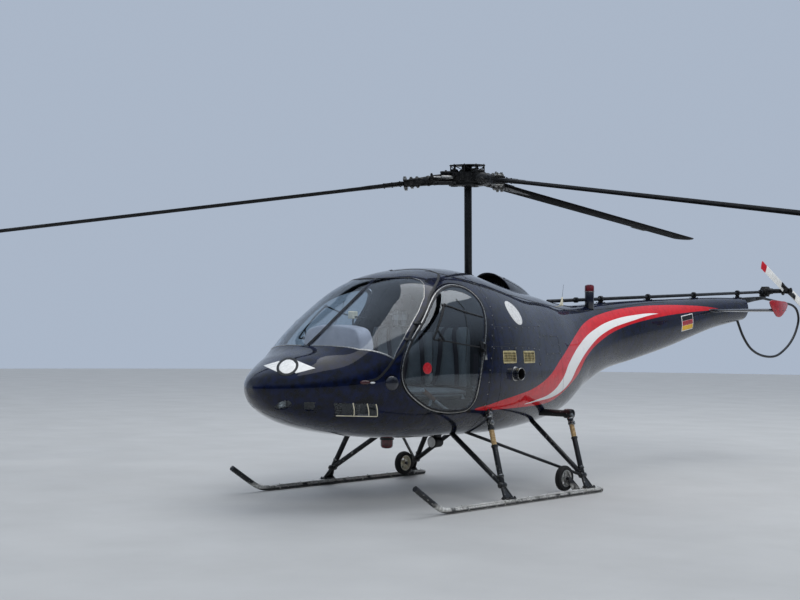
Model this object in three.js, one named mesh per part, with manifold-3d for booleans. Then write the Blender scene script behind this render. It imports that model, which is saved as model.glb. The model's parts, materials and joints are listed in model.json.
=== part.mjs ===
// A light three-seat piston helicopter on skids, parked with its rotor still.
// Millimetres, +Z up. The nose points to -Y and the left (port) side to +X.
// All sizes are measured from the rotor mast's foot on the ground, and the whole
// group is then moved so that the origin is under the middle of its bounding box.
import * as THREE from 'three';
import { mergeVertices } from 'three/addons/utils/BufferGeometryUtils.js';
import Module from 'manifold-3d';

const wasm = await Module();
wasm.setup();

// Driving dimensions
const MAST_TO_ORIGIN = { x: 300, y: 1700 };
const SEAM = 0.4;
const CABIN_WALL = 22;
const BAY_WALL = 14;
const BOOM_WALL = 10;
const CABIN_END = -500;
const BAY_END = 2000;
const BOOM_END = 4900;
const HULL_SIDES = 28;
const SKID_TRACK = 1978;
const ROTOR_RADIUS = 4877;
const ROTOR_HEIGHT = 2678;
const MAST_TILT_FORWARD = 3.3;
const MAST_TILT_PORT = 1.86;
const BLADE_DROOP = 6.07;
const BLADE_AZIMUTH = 232.7;
const BLADE_CHORD = 240;
const TAIL_ROTOR = { x: 270, y: 5550, z: 1857, radius: 710, chord: 95, angle: 155.6 };

const helicopter = new THREE.Group();
helicopter.position.set(-MAST_TO_ORIGIN.x, -MAST_TO_ORIGIN.y, 0);

// Materials: one new material for each mesh
const FINISHES = {
  navy: { color: 0x10131f, roughness: 0.12, metalness: 0 },
  red: { color: 0xc4202c, roughness: 0.2, metalness: 0 },
  glass: { color: 0x9fb0bd, roughness: 0.05, metalness: 0, transparent: true, opacity: 0.35 },
  gearBlack: { color: 0x17181b, roughness: 0.4, metalness: 0.1 },
  wornSilver: { color: 0x9a9a96, roughness: 0.45, metalness: 0.9 },
  darkMetal: { color: 0x4a4b4d, roughness: 0.45, metalness: 0.8 },
  bladeBlack: { color: 0x141517, roughness: 0.5, metalness: 0 },
  bladeWhite: { color: 0xe6e6e2, roughness: 0.35, metalness: 0 },
  seatGrey: { color: 0x77787a, roughness: 0.9, metalness: 0 },
  trimGrey: { color: 0x3b3c3f, roughness: 0.8, metalness: 0 },
  tyre: { color: 0x151515, roughness: 0.9, metalness: 0 },
  rim: { color: 0xb9bab8, roughness: 0.4, metalness: 0.6 },
  maroon: { color: 0x5d1520, roughness: 0.3, metalness: 0 },
  white: { color: 0xe8e8e6, roughness: 0.4, metalness: 0 },
  engine: { color: 0x6d6f70, roughness: 0.6, metalness: 0.6 },
};

const rad = THREE.MathUtils.degToRad;
const at = (x, y, z) => new THREE.Vector3(x, y, z);

// Solids: from a closed geometry to a solid, and back to a mesh
function solid(geometry) {
  const bare = geometry.clone();
  for (const name of Object.keys(bare.attributes)) {
    if (name !== 'position') bare.deleteAttribute(name);
  }
  const merged = mergeVertices(bare, 1e-4);
  return new wasm.Manifold(new wasm.Mesh({
    numProp: 3,
    vertProperties: new Float32Array(merged.attributes.position.array),
    triVerts: new Uint32Array(merged.index.array),
  }));
}

const join = (first, ...others) => others.reduce((sum, other) => sum.add(other), first);
const cut = (first, ...others) => others.reduce((rest, other) => rest.subtract(other), first);
const common = (first, ...others) => others.reduce((rest, other) => rest.intersect(other), first);

function add(name, finish, shape) {
  const mesh = shape.asOriginal().simplify(0.05).getMesh();
  const geometry = new THREE.BufferGeometry();
  geometry.setAttribute('position', new THREE.BufferAttribute(mesh.vertProperties, 3));
  geometry.setIndex(new THREE.BufferAttribute(mesh.triVerts, 1));
  geometry.computeVertexNormals();
  const piece = new THREE.Mesh(geometry, new THREE.MeshStandardMaterial(FINISHES[finish]));
  piece.name = name;
  helicopter.add(piece);
  return piece;
}

// Simple solids placed by their centre, by their two ends or along a path
function box(low, high) {
  const size = high.map((value, i) => value - low[i]);
  const middle = high.map((value, i) => (value + low[i]) / 2);
  return solid(new THREE.BoxGeometry(...size).translate(...middle));
}

function rod(from, to, radius, sides = 16, endRadius = radius) {
  const length = from.distanceTo(to);
  const turn = new THREE.Quaternion().setFromUnitVectors(
    at(0, 1, 0), to.clone().sub(from).normalize());
  return solid(new THREE.CylinderGeometry(endRadius, radius, length, sides)
    .applyQuaternion(turn)
    .translate(...from.clone().add(to).multiplyScalar(0.5).toArray()));
}

// A round tube along a (y, z) path in the plane of one x
function bentTube(x, path, radius, sides = 12) {
  const across = at(1, 0, 0);
  return loft(path.map(([y, z], i) => {
    const before = path[Math.max(i - 1, 0)];
    const after = path[Math.min(i + 1, path.length - 1)];
    const up = across.clone().cross(at(0, after[0] - before[0], after[1] - before[1]).normalize());
    return Array.from({ length: sides }, (_, k) => {
      const turn = (k / sides) * 2 * Math.PI;
      return at(x, y, z)
        .addScaledVector(across, radius * Math.cos(turn))
        .addScaledVector(up, radius * Math.sin(turn));
    });
  }));
}

// Points spaced along a smooth curve through a few (a, b) pairs
function smooth(pairs, count, closed = false) {
  const curve = new THREE.CatmullRomCurve3(pairs.map(([a, b]) => at(a, b, 0)), closed, 'centripetal');
  const points = curve.getSpacedPoints(count).map((point) => [point.x, point.y]);
  return closed ? points.slice(0, count) : points;
}

// Moves every edge of a counter-clockwise outline inwards by the same distance
function drawnIn(outline, distance) {
  return outline.map(([x, y], i) => {
    const before = outline.at(i - 1);
    const after = outline[(i + 1) % outline.length];
    const [[ax, ay], [bx, by]] = [[before, [x, y]], [[x, y], after]].map(([from, to]) => {
      const length = Math.hypot(to[0] - from[0], to[1] - from[1]);
      return [(from[1] - to[1]) / length, (to[0] - from[0]) / length];
    });
    const scale = distance / (1 + ax * bx + ay * by);
    return [x + (ax + bx) * scale, y + (ay + by) * scale];
  });
}

// A flat outline of (first, second) coordinates, extruded along the third axis
function plate(outline, axis, from, to) {
  const shape = new THREE.Shape(outline.map(([a, b]) => new THREE.Vector2(a, b)));
  const geometry = new THREE.ExtrudeGeometry(shape, { depth: to - from, bevelEnabled: false });
  const turns = {
    x: new THREE.Matrix4().makeBasis(at(0, 1, 0), at(0, 0, 1), at(1, 0, 0)),
    y: new THREE.Matrix4().makeBasis(at(0, 0, 1), at(1, 0, 0), at(0, 1, 0)),
    z: new THREE.Matrix4(),
  };
  geometry.translate(0, 0, from).applyMatrix4(turns[axis]);
  return solid(geometry);
}

// The half of space on the side that the direction points to
function halfSpace(point, direction) {
  const reach = 9000;
  const turn = new THREE.Quaternion().setFromUnitVectors(at(0, 0, 1), direction.clone().normalize());
  return solid(new THREE.BoxGeometry(reach, reach, reach)
    .translate(0, 0, reach / 2)
    .applyQuaternion(turn)
    .translate(...point.toArray()));
}

// Closes equal rings of points into one body with flat ends
function loft(rings) {
  const count = rings[0].length;
  const positions = rings.flat().flatMap((point) => point.toArray());
  const index = [];
  for (let ring = 0; ring < rings.length - 1; ring += 1) {
    for (let i = 0; i < count; i += 1) {
      const a = ring * count + i;
      const b = ring * count + ((i + 1) % count);
      const far = (i + 1) % count;
      const slant = rings[ring][i].distanceTo(rings[ring + 1][far]);
      const counter = rings[ring][far].distanceTo(rings[ring + 1][i]);
      if (slant < counter) index.push(a, a + count, b + count, a, b + count, b);
      else index.push(a, a + count, b, b, a + count, b + count);
    }
  }
  for (const [ring, flip] of [[0, false], [rings.length - 1, true]]) {
    const centre = positions.length / 3;
    const middle = rings[ring].reduce((sum, p) => sum.add(p), at(0, 0, 0)).divideScalar(count);
    positions.push(...middle.toArray());
    for (let i = 0; i < count; i += 1) {
      const a = ring * count + i;
      const b = ring * count + ((i + 1) % count);
      index.push(centre, flip ? b : a, flip ? a : b);
    }
  }
  const geometry = new THREE.BufferGeometry();
  geometry.setAttribute('position', new THREE.Float32BufferAttribute(positions, 3));
  geometry.setIndex(index);
  return solid(geometry);
}

// Fuselage sections. Columns: y, half width, top, widest height, bottom, and the
// roundness of the upper and lower halves (2 is an ellipse, 3 is boxier).
const SECTIONS = [
  [-2410, 40, 930, 905, 880, 2.0, 2.0],
  [-2385, 125, 980, 905, 825, 2.1, 2.1],
  [-2300, 250, 1040, 910, 738, 2.2, 2.2],
  [-2100, 425, 1130, 920, 645, 2.4, 2.3],
  [-1900, 550, 1213, 930, 588, 2.7, 2.4],
  [-1650, 665, 1395, 950, 540, 3.0, 2.5],
  [-1400, 735, 1575, 970, 508, 3.0, 2.6],
  [-1150, 770, 1750, 985, 490, 2.7, 2.6],
  [-900, 778, 1830, 1000, 482, 2.4, 2.6],
  [-600, 773, 1858, 1005, 482, 2.3, 2.6],
  [-300, 737, 1848, 1010, 488, 2.2, 2.6],
  [0, 680, 1803, 1012, 500, 2.2, 2.5],
  [400, 588, 1728, 1018, 530, 2.2, 2.4],
  [800, 490, 1672, 1040, 565, 2.2, 2.3],
  [1150, 400, 1622, 1095, 625, 2.1, 2.2],
  [1500, 320, 1577, 1190, 790, 2.1, 2.1],
  [2000, 250, 1575, 1285, 972, 2.1, 2.0],
  [2600, 215, 1625, 1375, 1080, 2.1, 2.0],
  [3200, 185, 1675, 1440, 1192, 2.1, 2.0],
  [4200, 135, 1737, 1575, 1408, 2.1, 2.0],
  [4900, 105, 1765, 1640, 1510, 2.1, 2.0],
];

// The section at any y, smoothed between the table's rows
function section(y) {
  const last = SECTIONS.length - 1;
  const found = SECTIONS.findIndex((row) => row[0] >= y);
  const i = Math.min(Math.max((found < 0 ? last : found) - 1, 0), last - 1);
  const [before, a, b, after] = [
    SECTIONS[Math.max(i - 1, 0)], SECTIONS[i], SECTIONS[i + 1], SECTIONS[Math.min(i + 2, last)]];
  const span = b[0] - a[0];
  const t = (y - a[0]) / span;
  return a.map((value, column) => {
    const leave = ((b[column] - before[column]) / (b[0] - before[0])) * span;
    const enter = ((after[column] - value) / (after[0] - a[0])) * span;
    return (2 * t ** 3 - 3 * t ** 2 + 1) * value + (t ** 3 - 2 * t ** 2 + t) * leave
      + (3 * t ** 2 - 2 * t ** 3) * b[column] + (t ** 3 - t ** 2) * enter;
  });
}

function hullRing(y, inset, sides) {
  const [, halfWidth, top, middle, bottom, upperRound, lowerRound] = section(y);
  return Array.from({ length: sides }, (_, i) => {
    const turn = (i / sides) * 2 * Math.PI;
    const [c, s] = [Math.cos(turn), Math.sin(turn)];
    const power = 2 / (s >= 0 ? upperRound : lowerRound);
    const height = (s >= 0 ? top - middle : middle - bottom) - inset;
    return at(
      Math.max(halfWidth - inset, 5) * Math.sign(c) * Math.abs(c) ** power, y,
      middle + Math.max(height, 5) * Math.sign(s) * Math.abs(s) ** power);
  });
}

// The hull between two stations, drawn in by an inset (or out, where it is negative)
const hulls = new Map();
function hull(from, to, inset) {
  if (!hulls.has(inset)) {
    hulls.set(inset, loft(SECTIONS.map(([y]) => hullRing(y, inset, HULL_SIDES))));
  }
  return hulls.get(inset).trimByPlane([0, 1, 0], from).trimByPlane([0, -1, 0], -to);
}

const NOSE = SECTIONS[0][0];
const FAR = 9000;
const wholeHull = hull(-FAR, FAR, -SEAM);

// Side outline of the doors (y, z), drawn as one smooth egg
const DOOR = { gap: 6, frame: 24, steps: 30 };
const DOOR_OUTLINE = smooth([
  [-783, 1716], [-945, 1690], [-1080, 1636], [-1185, 1566], [-1336, 1424], [-1514, 1239], [-1587, 1092],
  [-1596, 980], [-1545, 875], [-1350, 752], [-1182, 710], [-978, 699], [-850, 722], [-798, 800], [-780, 909],
  [-749, 1052], [-700, 1210], [-640, 1355], [-590, 1480], [-580, 1580], [-640, 1680],
], DOOR.steps, true);

function doorPrism(inset) {
  return plate(drawnIn(DOOR_OUTLINE, inset), 'x', 150, 1000);
}

// Outline of the left windshield pane, as points on the hull, and the way it faces
const WINDSHIELD = [
  [20, -1900, 1213], [273, -1873, 1214], [469, -1818, 1191], [655, -1640, 1126], [653, -1622, 1166],
  [649, -1530, 1275], [632, -1428, 1382], [608, -1320, 1480], [558, -1200, 1590], [505, -1140, 1652],
  [456, -1085, 1697], [398, -1060, 1730], [330, -1072, 1749], [220, -1125, 1752], [20, -1150, 1750],
];
const PANE_FACING = at(0.33, -0.55, 0.77).normalize();
const PANE_REACH = 260;

function windshieldPrism(inset) {
  const turn = new THREE.Quaternion().setFromUnitVectors(at(0, 0, 1), PANE_FACING);
  const flat = WINDSHIELD.map((point) => at(...point).applyQuaternion(turn.clone().invert()));
  const outline = drawnIn(flat.map((point) => [point.x, point.y]), inset);
  const depth = flat[0].z - PANE_REACH;
  const shape = new THREE.Shape(outline.map(([a, b]) => new THREE.Vector2(a, b)));
  return solid(new THREE.ExtrudeGeometry(shape, { depth: 2.4 * PANE_REACH, bevelEnabled: false })
    .translate(0, 0, depth)
    .applyQuaternion(turn));
}

// Chin windows low on the nose
const CHIN = { inner: 70, low: 695, high: 812, aft: -1715 };

function chinBox(inset) {
  return box([CHIN.inner + inset, -2600, CHIN.low + inset], [900, CHIN.aft - inset, CHIN.high - inset]);
}

// Door hinges: the pin line runs just outside the skin, up the front edge of the door
const HINGE = {
  edge: at(662, -1442, 1328), out: at(0.801, -0.372, 0.468), up: at(-0.097, 0.69, 0.717),
  offset: 14, barrel: 8, pin: 3.5, bore: 4.2, knuckles: [-105, 65], length: 22,
};
const HINGE_POINT = HINGE.edge.clone().addScaledVector(HINGE.out, HINGE.offset);
const toHinge = new THREE.Matrix4().makeBasis(
  HINGE.up.clone().cross(HINGE.out).normalize(), HINGE.up.clone().normalize(), HINGE.out.clone().normalize())
  .setPosition(HINGE_POINT);

function hingePieces(onDoor) {
  const pieces = HINGE.knuckles.map((start) => {
    const pivot = (from, to, radius) => rod(at(0, from, 0), at(0, to, 0), radius, 12);
    const middle = start + HINGE.length;
    const end = middle + HINGE.length;
    if (onDoor) {
      return cut(
        join(pivot(middle + SEAM, end, HINGE.barrel), box([0, middle + SEAM, -8], [28, end, 3]),
          box([17, middle + SEAM, -34], [28, end, 0])),
        pivot(middle - 5, end + 5, HINGE.bore));
    }
    return join(pivot(start, middle, HINGE.barrel), pivot(start + 5, end + 3, HINGE.pin),
      box([-16, start, -34], [0, middle, 3]));
  });
  return join(...pieces).transform(toHinge.toArray());
}

// Cabin shell, windows and doors: the left ones are made first, then mirrored
const SIDES = { left: 1, right: -1 };
const onSide = (side, shape) => (side > 0 ? shape : shape.mirror([1, 0, 0]));
const PANE = { inset: 6, thickness: 6 };
const cabinOuter = hull(NOSE, CABIN_END - SEAM / 2, 0);
const cabinInner = hull(NOSE + CABIN_WALL, FAR, CABIN_WALL);
const paneShell = cut(
  hull(NOSE + PANE.inset, CABIN_END - 30, PANE.inset),
  hull(NOSE + PANE.inset + PANE.thickness, FAR, PANE.inset + PANE.thickness));

const cabinSkin = cut(cabinOuter, cabinInner);
let cabinShell = cabinSkin;
for (const side of Object.values(SIDES)) {
  cabinShell = cut(cabinShell,
    onSide(side, windshieldPrism(0)), onSide(side, chinBox(0)), onSide(side, doorPrism(0)));
  cabinShell = join(cabinShell, onSide(side, hingePieces(false)));
}
add('cabin_shell', 'navy', cabinShell);

const doorRing = cut(common(cabinSkin, doorPrism(DOOR.gap)), doorPrism(DOOR.gap + DOOR.frame));
const door = cut(join(doorRing, cut(hingePieces(true), cabinInner)));
for (const [name, side] of Object.entries(SIDES)) {
  add(`windshield_${name}`, 'glass', onSide(side, common(paneShell, windshieldPrism(SEAM))));
  add(`chin_window_${name}`, 'glass', onSide(side, common(paneShell, chinBox(SEAM))));
  add(`door_${name}`, 'navy', onSide(side, door));
  add(`door_glass_${name}`, 'glass',
    onSide(side, common(paneShell, doorPrism(DOOR.gap + DOOR.frame + SEAM))));
}

// Cabin floor, seat, console and controls
const FLOOR = { low: 620, high: 645, front: -2050 };
const FLOOR_TOP = FLOOR.high + SEAM;
const cabinRoom = hull(NOSE + CABIN_WALL, CABIN_END - 1, CABIN_WALL + SEAM);
add('cabin_floor', 'trimGrey', common(
  cabinRoom, box([-900, FLOOR.front, FLOOR.low], [900, CABIN_END - 1, FLOOR.high])));

const SEAT = { half: 555, front: -1130, back: -660, box: 800, top: 885, backTop: 1500, rear: CABIN_END - 12 };
add('seat_box', 'trimGrey', box(
  [-SEAT.half, SEAT.front + 30, FLOOR_TOP], [SEAT.half, SEAT.rear, SEAT.box]));
add('seat_cushion', 'seatGrey', box(
  [10 - SEAT.half, SEAT.front, SEAT.box + SEAM], [SEAT.half - 10, SEAT.back, SEAT.top]));
// Columns: height, half width of the seat back there
const BACK = [[SEAT.box + SEAM, SEAT.half - 10], [SEAT.backTop - 200, SEAT.half - 50], [SEAT.backTop, 400]];
add('seat_back', 'seatGrey', plate(
  [...BACK, ...BACK.toReversed().map(([z, x]) => [z, -x])], 'y', SEAT.back + SEAM, SEAT.rear));

const PEDALS = { y: -1760, thickness: 20, bar: 680, top: 820, out: 300, apart: 95 };
const PEDAL_BAR = [
  [-PEDALS.out - 140, PEDALS.y, PEDALS.bar - 14],
  [PEDALS.out + 140, PEDALS.y + PEDALS.thickness, PEDALS.bar]];
const barSlot = box(...PEDAL_BAR.map((corner, end) => corner.map((value) => value + (end ? SEAM : -SEAM))));
add('console', 'trimGrey', cut(plate(
  [[-1500, FLOOR_TOP], [-1480, 900], [-1560, 1150], [-1760, 1170], [-1840, 1060], [-1800, FLOOR_TOP]],
  'x', -150, 150), barSlot));

let pedals = box(...PEDAL_BAR);
for (const x of [-PEDALS.out, PEDALS.out]) {
  pedals = join(pedals, box(
    [x - 20, PEDALS.y, FLOOR_TOP], [x + 20, PEDALS.y + PEDALS.thickness, PEDALS.bar]));
  for (const middle of [x - PEDALS.apart, x + PEDALS.apart]) {
    pedals = join(pedals, box(
      [middle - 40, PEDALS.y - 8, PEDALS.bar - 14], [middle + 40, PEDALS.y + 2, PEDALS.top]));
  }
}
add('pedals', 'gearBlack', common(pedals, cabinRoom));

const STICK = { x: 300, y: -1300, top: 1010, foot: -1420 };
for (const [name, side] of Object.entries(SIDES)) {
  const x = side * STICK.x;
  add(`cyclic_${name}`, 'gearBlack', join(
    bentTube(x, [[STICK.foot, FLOOR_TOP + 20], [STICK.foot + 20, 780], [STICK.foot + 60, 850],
      [STICK.y - 10, 895], [STICK.y + 10, STICK.top - 60]], 13, 8),
    rod(at(x, STICK.foot, FLOOR_TOP), at(x, STICK.foot, FLOOR_TOP + 30), 40, 12),
    rod(at(x, STICK.y + 4, STICK.top - 90), at(x, STICK.y + 22, STICK.top + 10), 20, 10)));
}
const COLLECTIVE = { x: 590, pivot: -860 };
add('collective', 'gearBlack', join(
  box([COLLECTIVE.x - 12, COLLECTIVE.pivot - 40, FLOOR_TOP], [COLLECTIVE.x + 12, COLLECTIVE.pivot + 40, 700]),
  bentTube(COLLECTIVE.x, [[COLLECTIVE.pivot, 685], [-1000, 745], [-1200, 860]], 12, 8),
  rod(at(COLLECTIVE.x, -1110, 807), at(COLLECTIVE.x, -1230, 878), 19, 10)));

// Engine bay: the rear fuselage with its firewall, vents, bearings and holes
const BAY_START = CABIN_END + SEAM / 2;
const MAST_AXIS = at(
  Math.tan(rad(MAST_TILT_PORT)), -Math.tan(rad(MAST_TILT_FORWARD)), 1).normalize();
const onMast = (height) => at(0, 0, ROTOR_HEIGHT).addScaledVector(MAST_AXIS, height);
const MAST = { radius: 33, foot: -1010, sides: 16 };
const COLLAR = { radius: 62, foot: -960, top: -850 };

const SHAFT = { radius: 17, sides: 12, y: 1674, z: 1654, slope: 0.0512, from: 1180, to: 5464 };
const onShaft = (y, drop = 0) => at(0, y, SHAFT.z + SHAFT.slope * (y - SHAFT.y) - drop);

// Columns: y of the middle, height of the middle, length, height
const VENTS = [
  { y: -355, z: 1134, length: 200, height: 88 },
  { y: -10, z: 1131, length: 200, height: 88 },
];
const CROSS_TUBE = { y: 480, z: 648, radius: 29, reach: 765 };
const crossRod = (reach, radius) => rod(
  at(-reach, CROSS_TUBE.y, CROSS_TUBE.z), at(reach, CROSS_TUBE.y, CROSS_TUBE.z), radius);
const EXHAUST = { y: -270, z: 997, radius: 50, wall: 5, from: 560, to: 795 };

let bay = cut(hull(BAY_START, BAY_END, 0), hull(BAY_START + BAY_WALL, FAR, BAY_WALL));
bay = join(bay, rod(onMast(COLLAR.foot), onMast(COLLAR.top), COLLAR.radius, MAST.sides));
bay = cut(bay,
  rod(onMast(COLLAR.foot - 200), onMast(COLLAR.top + 20), MAST.radius + 1.2, MAST.sides),
  rod(onShaft(900), onShaft(1560), 30, 12),
  crossRod(900, CROSS_TUBE.radius + SEAM),
  rod(at(400, EXHAUST.y, EXHAUST.z), at(900, EXHAUST.y, EXHAUST.z), EXHAUST.radius + SEAM, 20),
  box([-150, 330, 1600], [150, 560, 1900]),
  box([-160, 560, 400], [160, 900, 700]));
for (const side of Object.values(SIDES)) {
  for (const vent of VENTS) {
    bay = cut(bay, box(
      [side > 0 ? 400 : -900, vent.y - vent.length / 2, vent.z - vent.height / 2],
      [side > 0 ? 900 : -400, vent.y + vent.length / 2, vent.z + vent.height / 2]));
  }
}
add('engine_bay', 'navy', bay);

// Vent grilles: slats that fill both openings of a side, on one frame behind the skin
const SLAT = { count: 4, thickness: 5, rim: 8 };
const behindSkin = hull(BAY_START + BAY_WALL + 1, BAY_END, BAY_WALL + SEAM);
const slatSkin = cut(hull(BAY_START + BAY_WALL + 1, BAY_END, 3), hull(-FAR, FAR, BAY_WALL + 5));
const frameSkin = common(slatSkin, behindSkin);
const [frontVent, rearVent] = VENTS;
let grille = common(frameSkin, box(
  [400, frontVent.y - frontVent.length / 2 - 12, frontVent.z - frontVent.height / 2 - 20],
  [900, rearVent.y + rearVent.length / 2 + 12, frontVent.z + frontVent.height / 2 + 20]));
for (const vent of VENTS) {
  const [low, high] = [vent.z - vent.height / 2 + SEAM, vent.z + vent.height / 2 - SEAM];
  const [fore, aft] = [vent.y - vent.length / 2 + SEAM, vent.y + vent.length / 2 - SEAM];
  grille = cut(grille, box([400, fore + SLAT.rim, low + 4], [900, aft - SLAT.rim, high - 4]));
  let bars = join(
    box([400, fore, low], [900, fore + SLAT.rim, high]), box([400, aft - SLAT.rim, low], [900, aft, high]));
  for (let i = 0; i < SLAT.count; i += 1) {
    const z = low + ((i + 0.5) / SLAT.count) * (high - low);
    bars = join(bars, box([400, fore, z - SLAT.thickness / 2], [900, aft, z + SLAT.thickness / 2]));
  }
  grille = join(grille, common(slatSkin, bars));
}
for (const [name, side] of Object.entries(SIDES)) add(`vents_${name}`, 'wornSilver', onSide(side, grille));

// The engine, as one block that hangs on the firewall's mounts
add('engine_block', 'engine', join(
  box([-370, -330, 720], [370, 330, 1060]),
  box([-250, BAY_START + BAY_WALL + SEAM, 780], [250, -320, 860])));

add('exhaust_stub', 'darkMetal', cut(
  rod(at(EXHAUST.from, EXHAUST.y, EXHAUST.z), at(EXHAUST.to, EXHAUST.y, EXHAUST.z), EXHAUST.radius, 20),
  rod(at(EXHAUST.from + 10, EXHAUST.y, EXHAUST.z), at(EXHAUST.to + 10, EXHAUST.y, EXHAUST.z),
    EXHAUST.radius - EXHAUST.wall, 20)));

// Air intake hood behind the mast. Columns: y, half width, top
const HOOD = [[270, 200, 1852], [400, 192, 1838], [620, 150, 1778], [860, 60, 1682]];
const HOOD_WALL = 12;
function hoodLoft(rows, inset) {
  return loft(rows.map(([y, half, top]) => {
    const steps = 14;
    const arch = Array.from({ length: steps + 1 }, (_, i) => {
      const turn = (i / steps) * Math.PI;
      return at((half - inset) * Math.cos(turn), y, 1600 + (top - inset - 1600) * Math.sin(turn) ** 0.6);
    });
    return arch;
  }));
}
const hoodInside = hoodLoft([[255, 200, 1853], ...HOOD.slice(1, 3)], HOOD_WALL);
add('intake_hood', 'navy', cut(hoodLoft(HOOD, 0), hoodInside, wholeHull));

// Tail boom with the shaft hangers and the slim gearbox support
const HANGERS = [2060, 2930, 3860, 4840];
const SUPPORT = [[4885, 62, 1690, 1757], [5200, 48, 1735, 1783], [5475, 36, 1764, 1796]];
const support = (grown) => loft(SUPPORT.map(([y, half, low, high]) => [
  at(half + grown, y, low - grown), at(half + grown, y, high + grown),
  at(-half - grown, y, high + grown), at(-half - grown, y, low - grown)]));
let boom = cut(hull(BAY_END + SEAM, BOOM_END, 0), hull(-FAR, BOOM_END - BOOM_WALL, BOOM_WALL));
boom = join(boom, support(0));
for (const y of HANGERS) {
  const top = section(y)[2];
  boom = join(boom,
    box([-26, y - 9, top - BOOM_WALL / 2], [26, y + 9, onShaft(y).z]),
    rod(onShaft(y - 15), onShaft(y + 15), 30, SHAFT.sides));
  boom = cut(boom, rod(onShaft(y - 60), onShaft(y + 60), SHAFT.radius + 1, SHAFT.sides));
}
add('tail_boom', 'navy', boom);

let driveshaft = rod(onShaft(SHAFT.from), onShaft(SHAFT.to), SHAFT.radius, SHAFT.sides);
for (const y of [1640, 5405]) {
  driveshaft = join(driveshaft, rod(onShaft(y - 14), onShaft(y + 14), 26, SHAFT.sides));
}
add('tail_driveshaft', 'gearBlack', driveshaft);

// Stabiliser halves with their tip fins
const STABILISER = { fore: 3940, aft: 4360, z: 1600, thickness: 34, tip: 830 };
const FIN = {
  thickness: 12, outline: [[3945, 1702], [4365, 1688], [4210, 1545], [4150, 1526], [4095, 1545]],
};

function wingSection(chord, thickness) {
  // Columns: share of the chord, share of the thickness
  const half = [[0, 0], [0.03, 0.3], [0.12, 0.47], [0.35, 0.5], [0.7, 0.3], [1, 0.04]];
  const under = half.slice(1).reverse().map(([x, z]) => [x * chord, -z * thickness]);
  return [...half.map(([x, z]) => [x * chord, z * thickness]), ...under];
}

const stabiliserOutline = wingSection(STABILISER.aft - STABILISER.fore, STABILISER.thickness)
  .map(([y, z]) => [STABILISER.fore + y, STABILISER.z + z]);
for (const [name, side] of Object.entries(SIDES)) {
  const ends = side > 0 ? [0, STABILISER.tip] : [-STABILISER.tip, 0];
  add(`stabiliser_${name}`, 'navy', cut(plate(stabiliserOutline, 'x', ...ends), wholeHull));
  const inner = side * (STABILISER.tip + SEAM);
  const outer = inner + side * FIN.thickness;
  add(`tip_fin_${name}`, 'red', plate(FIN.outline, 'x', Math.min(inner, outer), Math.max(inner, outer)));
}

// Tail rotor guard: one bent tube in the middle plane (y, z)
const GUARD = [
  [4815, 1540], [4885, 1440], [4975, 1329], [5130, 1205], [5315, 1131], [5560, 1092], [5800, 1100],
  [5990, 1160], [6180, 1260], [6320, 1390], [6396, 1545], [6350, 1650], [6240, 1705], [5900, 1738],
  [5440, 1775],
];
add('tail_guard', 'gearBlack', cut(bentTube(0, smooth(GUARD, 28), 14, 8), wholeHull, support(SEAM)));

// Tail gearbox and rotor
const TAIL_BOX = { y: 5520, z: 1857, radius: 55, output: 190 };
add('tail_gearbox', 'gearBlack', cut(join(
  rod(at(-52, TAIL_BOX.y, TAIL_BOX.z), at(52, TAIL_BOX.y, TAIL_BOX.z), TAIL_BOX.radius, 16),
  rod(at(40, TAIL_ROTOR.y, TAIL_ROTOR.z), at(TAIL_BOX.output, TAIL_ROTOR.y, TAIL_ROTOR.z), 34, 12, 26),
  box([-34, 5432, 1796.4], [34, 5560, 1822])),
rod(at(150, TAIL_ROTOR.y, TAIL_ROTOR.z), at(250, TAIL_ROTOR.y, TAIL_ROTOR.z), 15.9, 12)));

const TAIL_ROOT = 116;
const tailSpan = at(0, Math.cos(rad(TAIL_ROTOR.angle)), Math.sin(rad(TAIL_ROTOR.angle)));
const tailHub = at(TAIL_ROTOR.x, TAIL_ROTOR.y, TAIL_ROTOR.z);
const tailPoint = (reach) => tailHub.clone().addScaledVector(tailSpan, reach);
add('tail_rotor_hub', 'darkMetal', join(
  rod(at(152, TAIL_ROTOR.y, TAIL_ROTOR.z), at(TAIL_ROTOR.x + 45, TAIL_ROTOR.y, TAIL_ROTOR.z), 15, 12),
  rod(at(205, TAIL_ROTOR.y, TAIL_ROTOR.z), at(225, TAIL_ROTOR.y, TAIL_ROTOR.z), 48, 16),
  rod(tailPoint(SEAM - TAIL_ROOT), tailPoint(TAIL_ROOT - SEAM), 26, 12)));
for (const [number, way] of [[1, 1], [2, -1]]) {
  const outline = wingSection(TAIL_ROTOR.chord, 14).map(([a, b]) => [a - TAIL_ROTOR.chord * 0.3, b]);
  const shape = new THREE.Shape(outline.map(([a, b]) => new THREE.Vector2(a, b)));
  const blade = new THREE.ExtrudeGeometry(shape, {
    depth: TAIL_ROTOR.radius - TAIL_ROOT, bevelEnabled: false });
  const thick = at(1, 0, 0);
  const chord = thick.clone().cross(tailSpan).multiplyScalar(way);
  blade.translate(0, 0, TAIL_ROOT)
    .applyMatrix4(new THREE.Matrix4().makeBasis(chord, thick, chord.clone().cross(thick)))
    .translate(...tailHub.toArray());
  add(`tail_rotor_blade_${number}`, 'bladeWhite', solid(blade));
}

// Main rotor: everything here is built about the mast and then tilted with it
const toMast = new THREE.Matrix4().compose(
  at(0, 0, ROTOR_HEIGHT), new THREE.Quaternion().setFromUnitVectors(at(0, 0, 1), MAST_AXIS), at(1, 1, 1));
const tilt = (shape) => shape.transform(toMast.toArray());
const upright = (from, to, radius, sides = 20) => rod(at(0, 0, from), at(0, 0, to), radius, sides);

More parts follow.
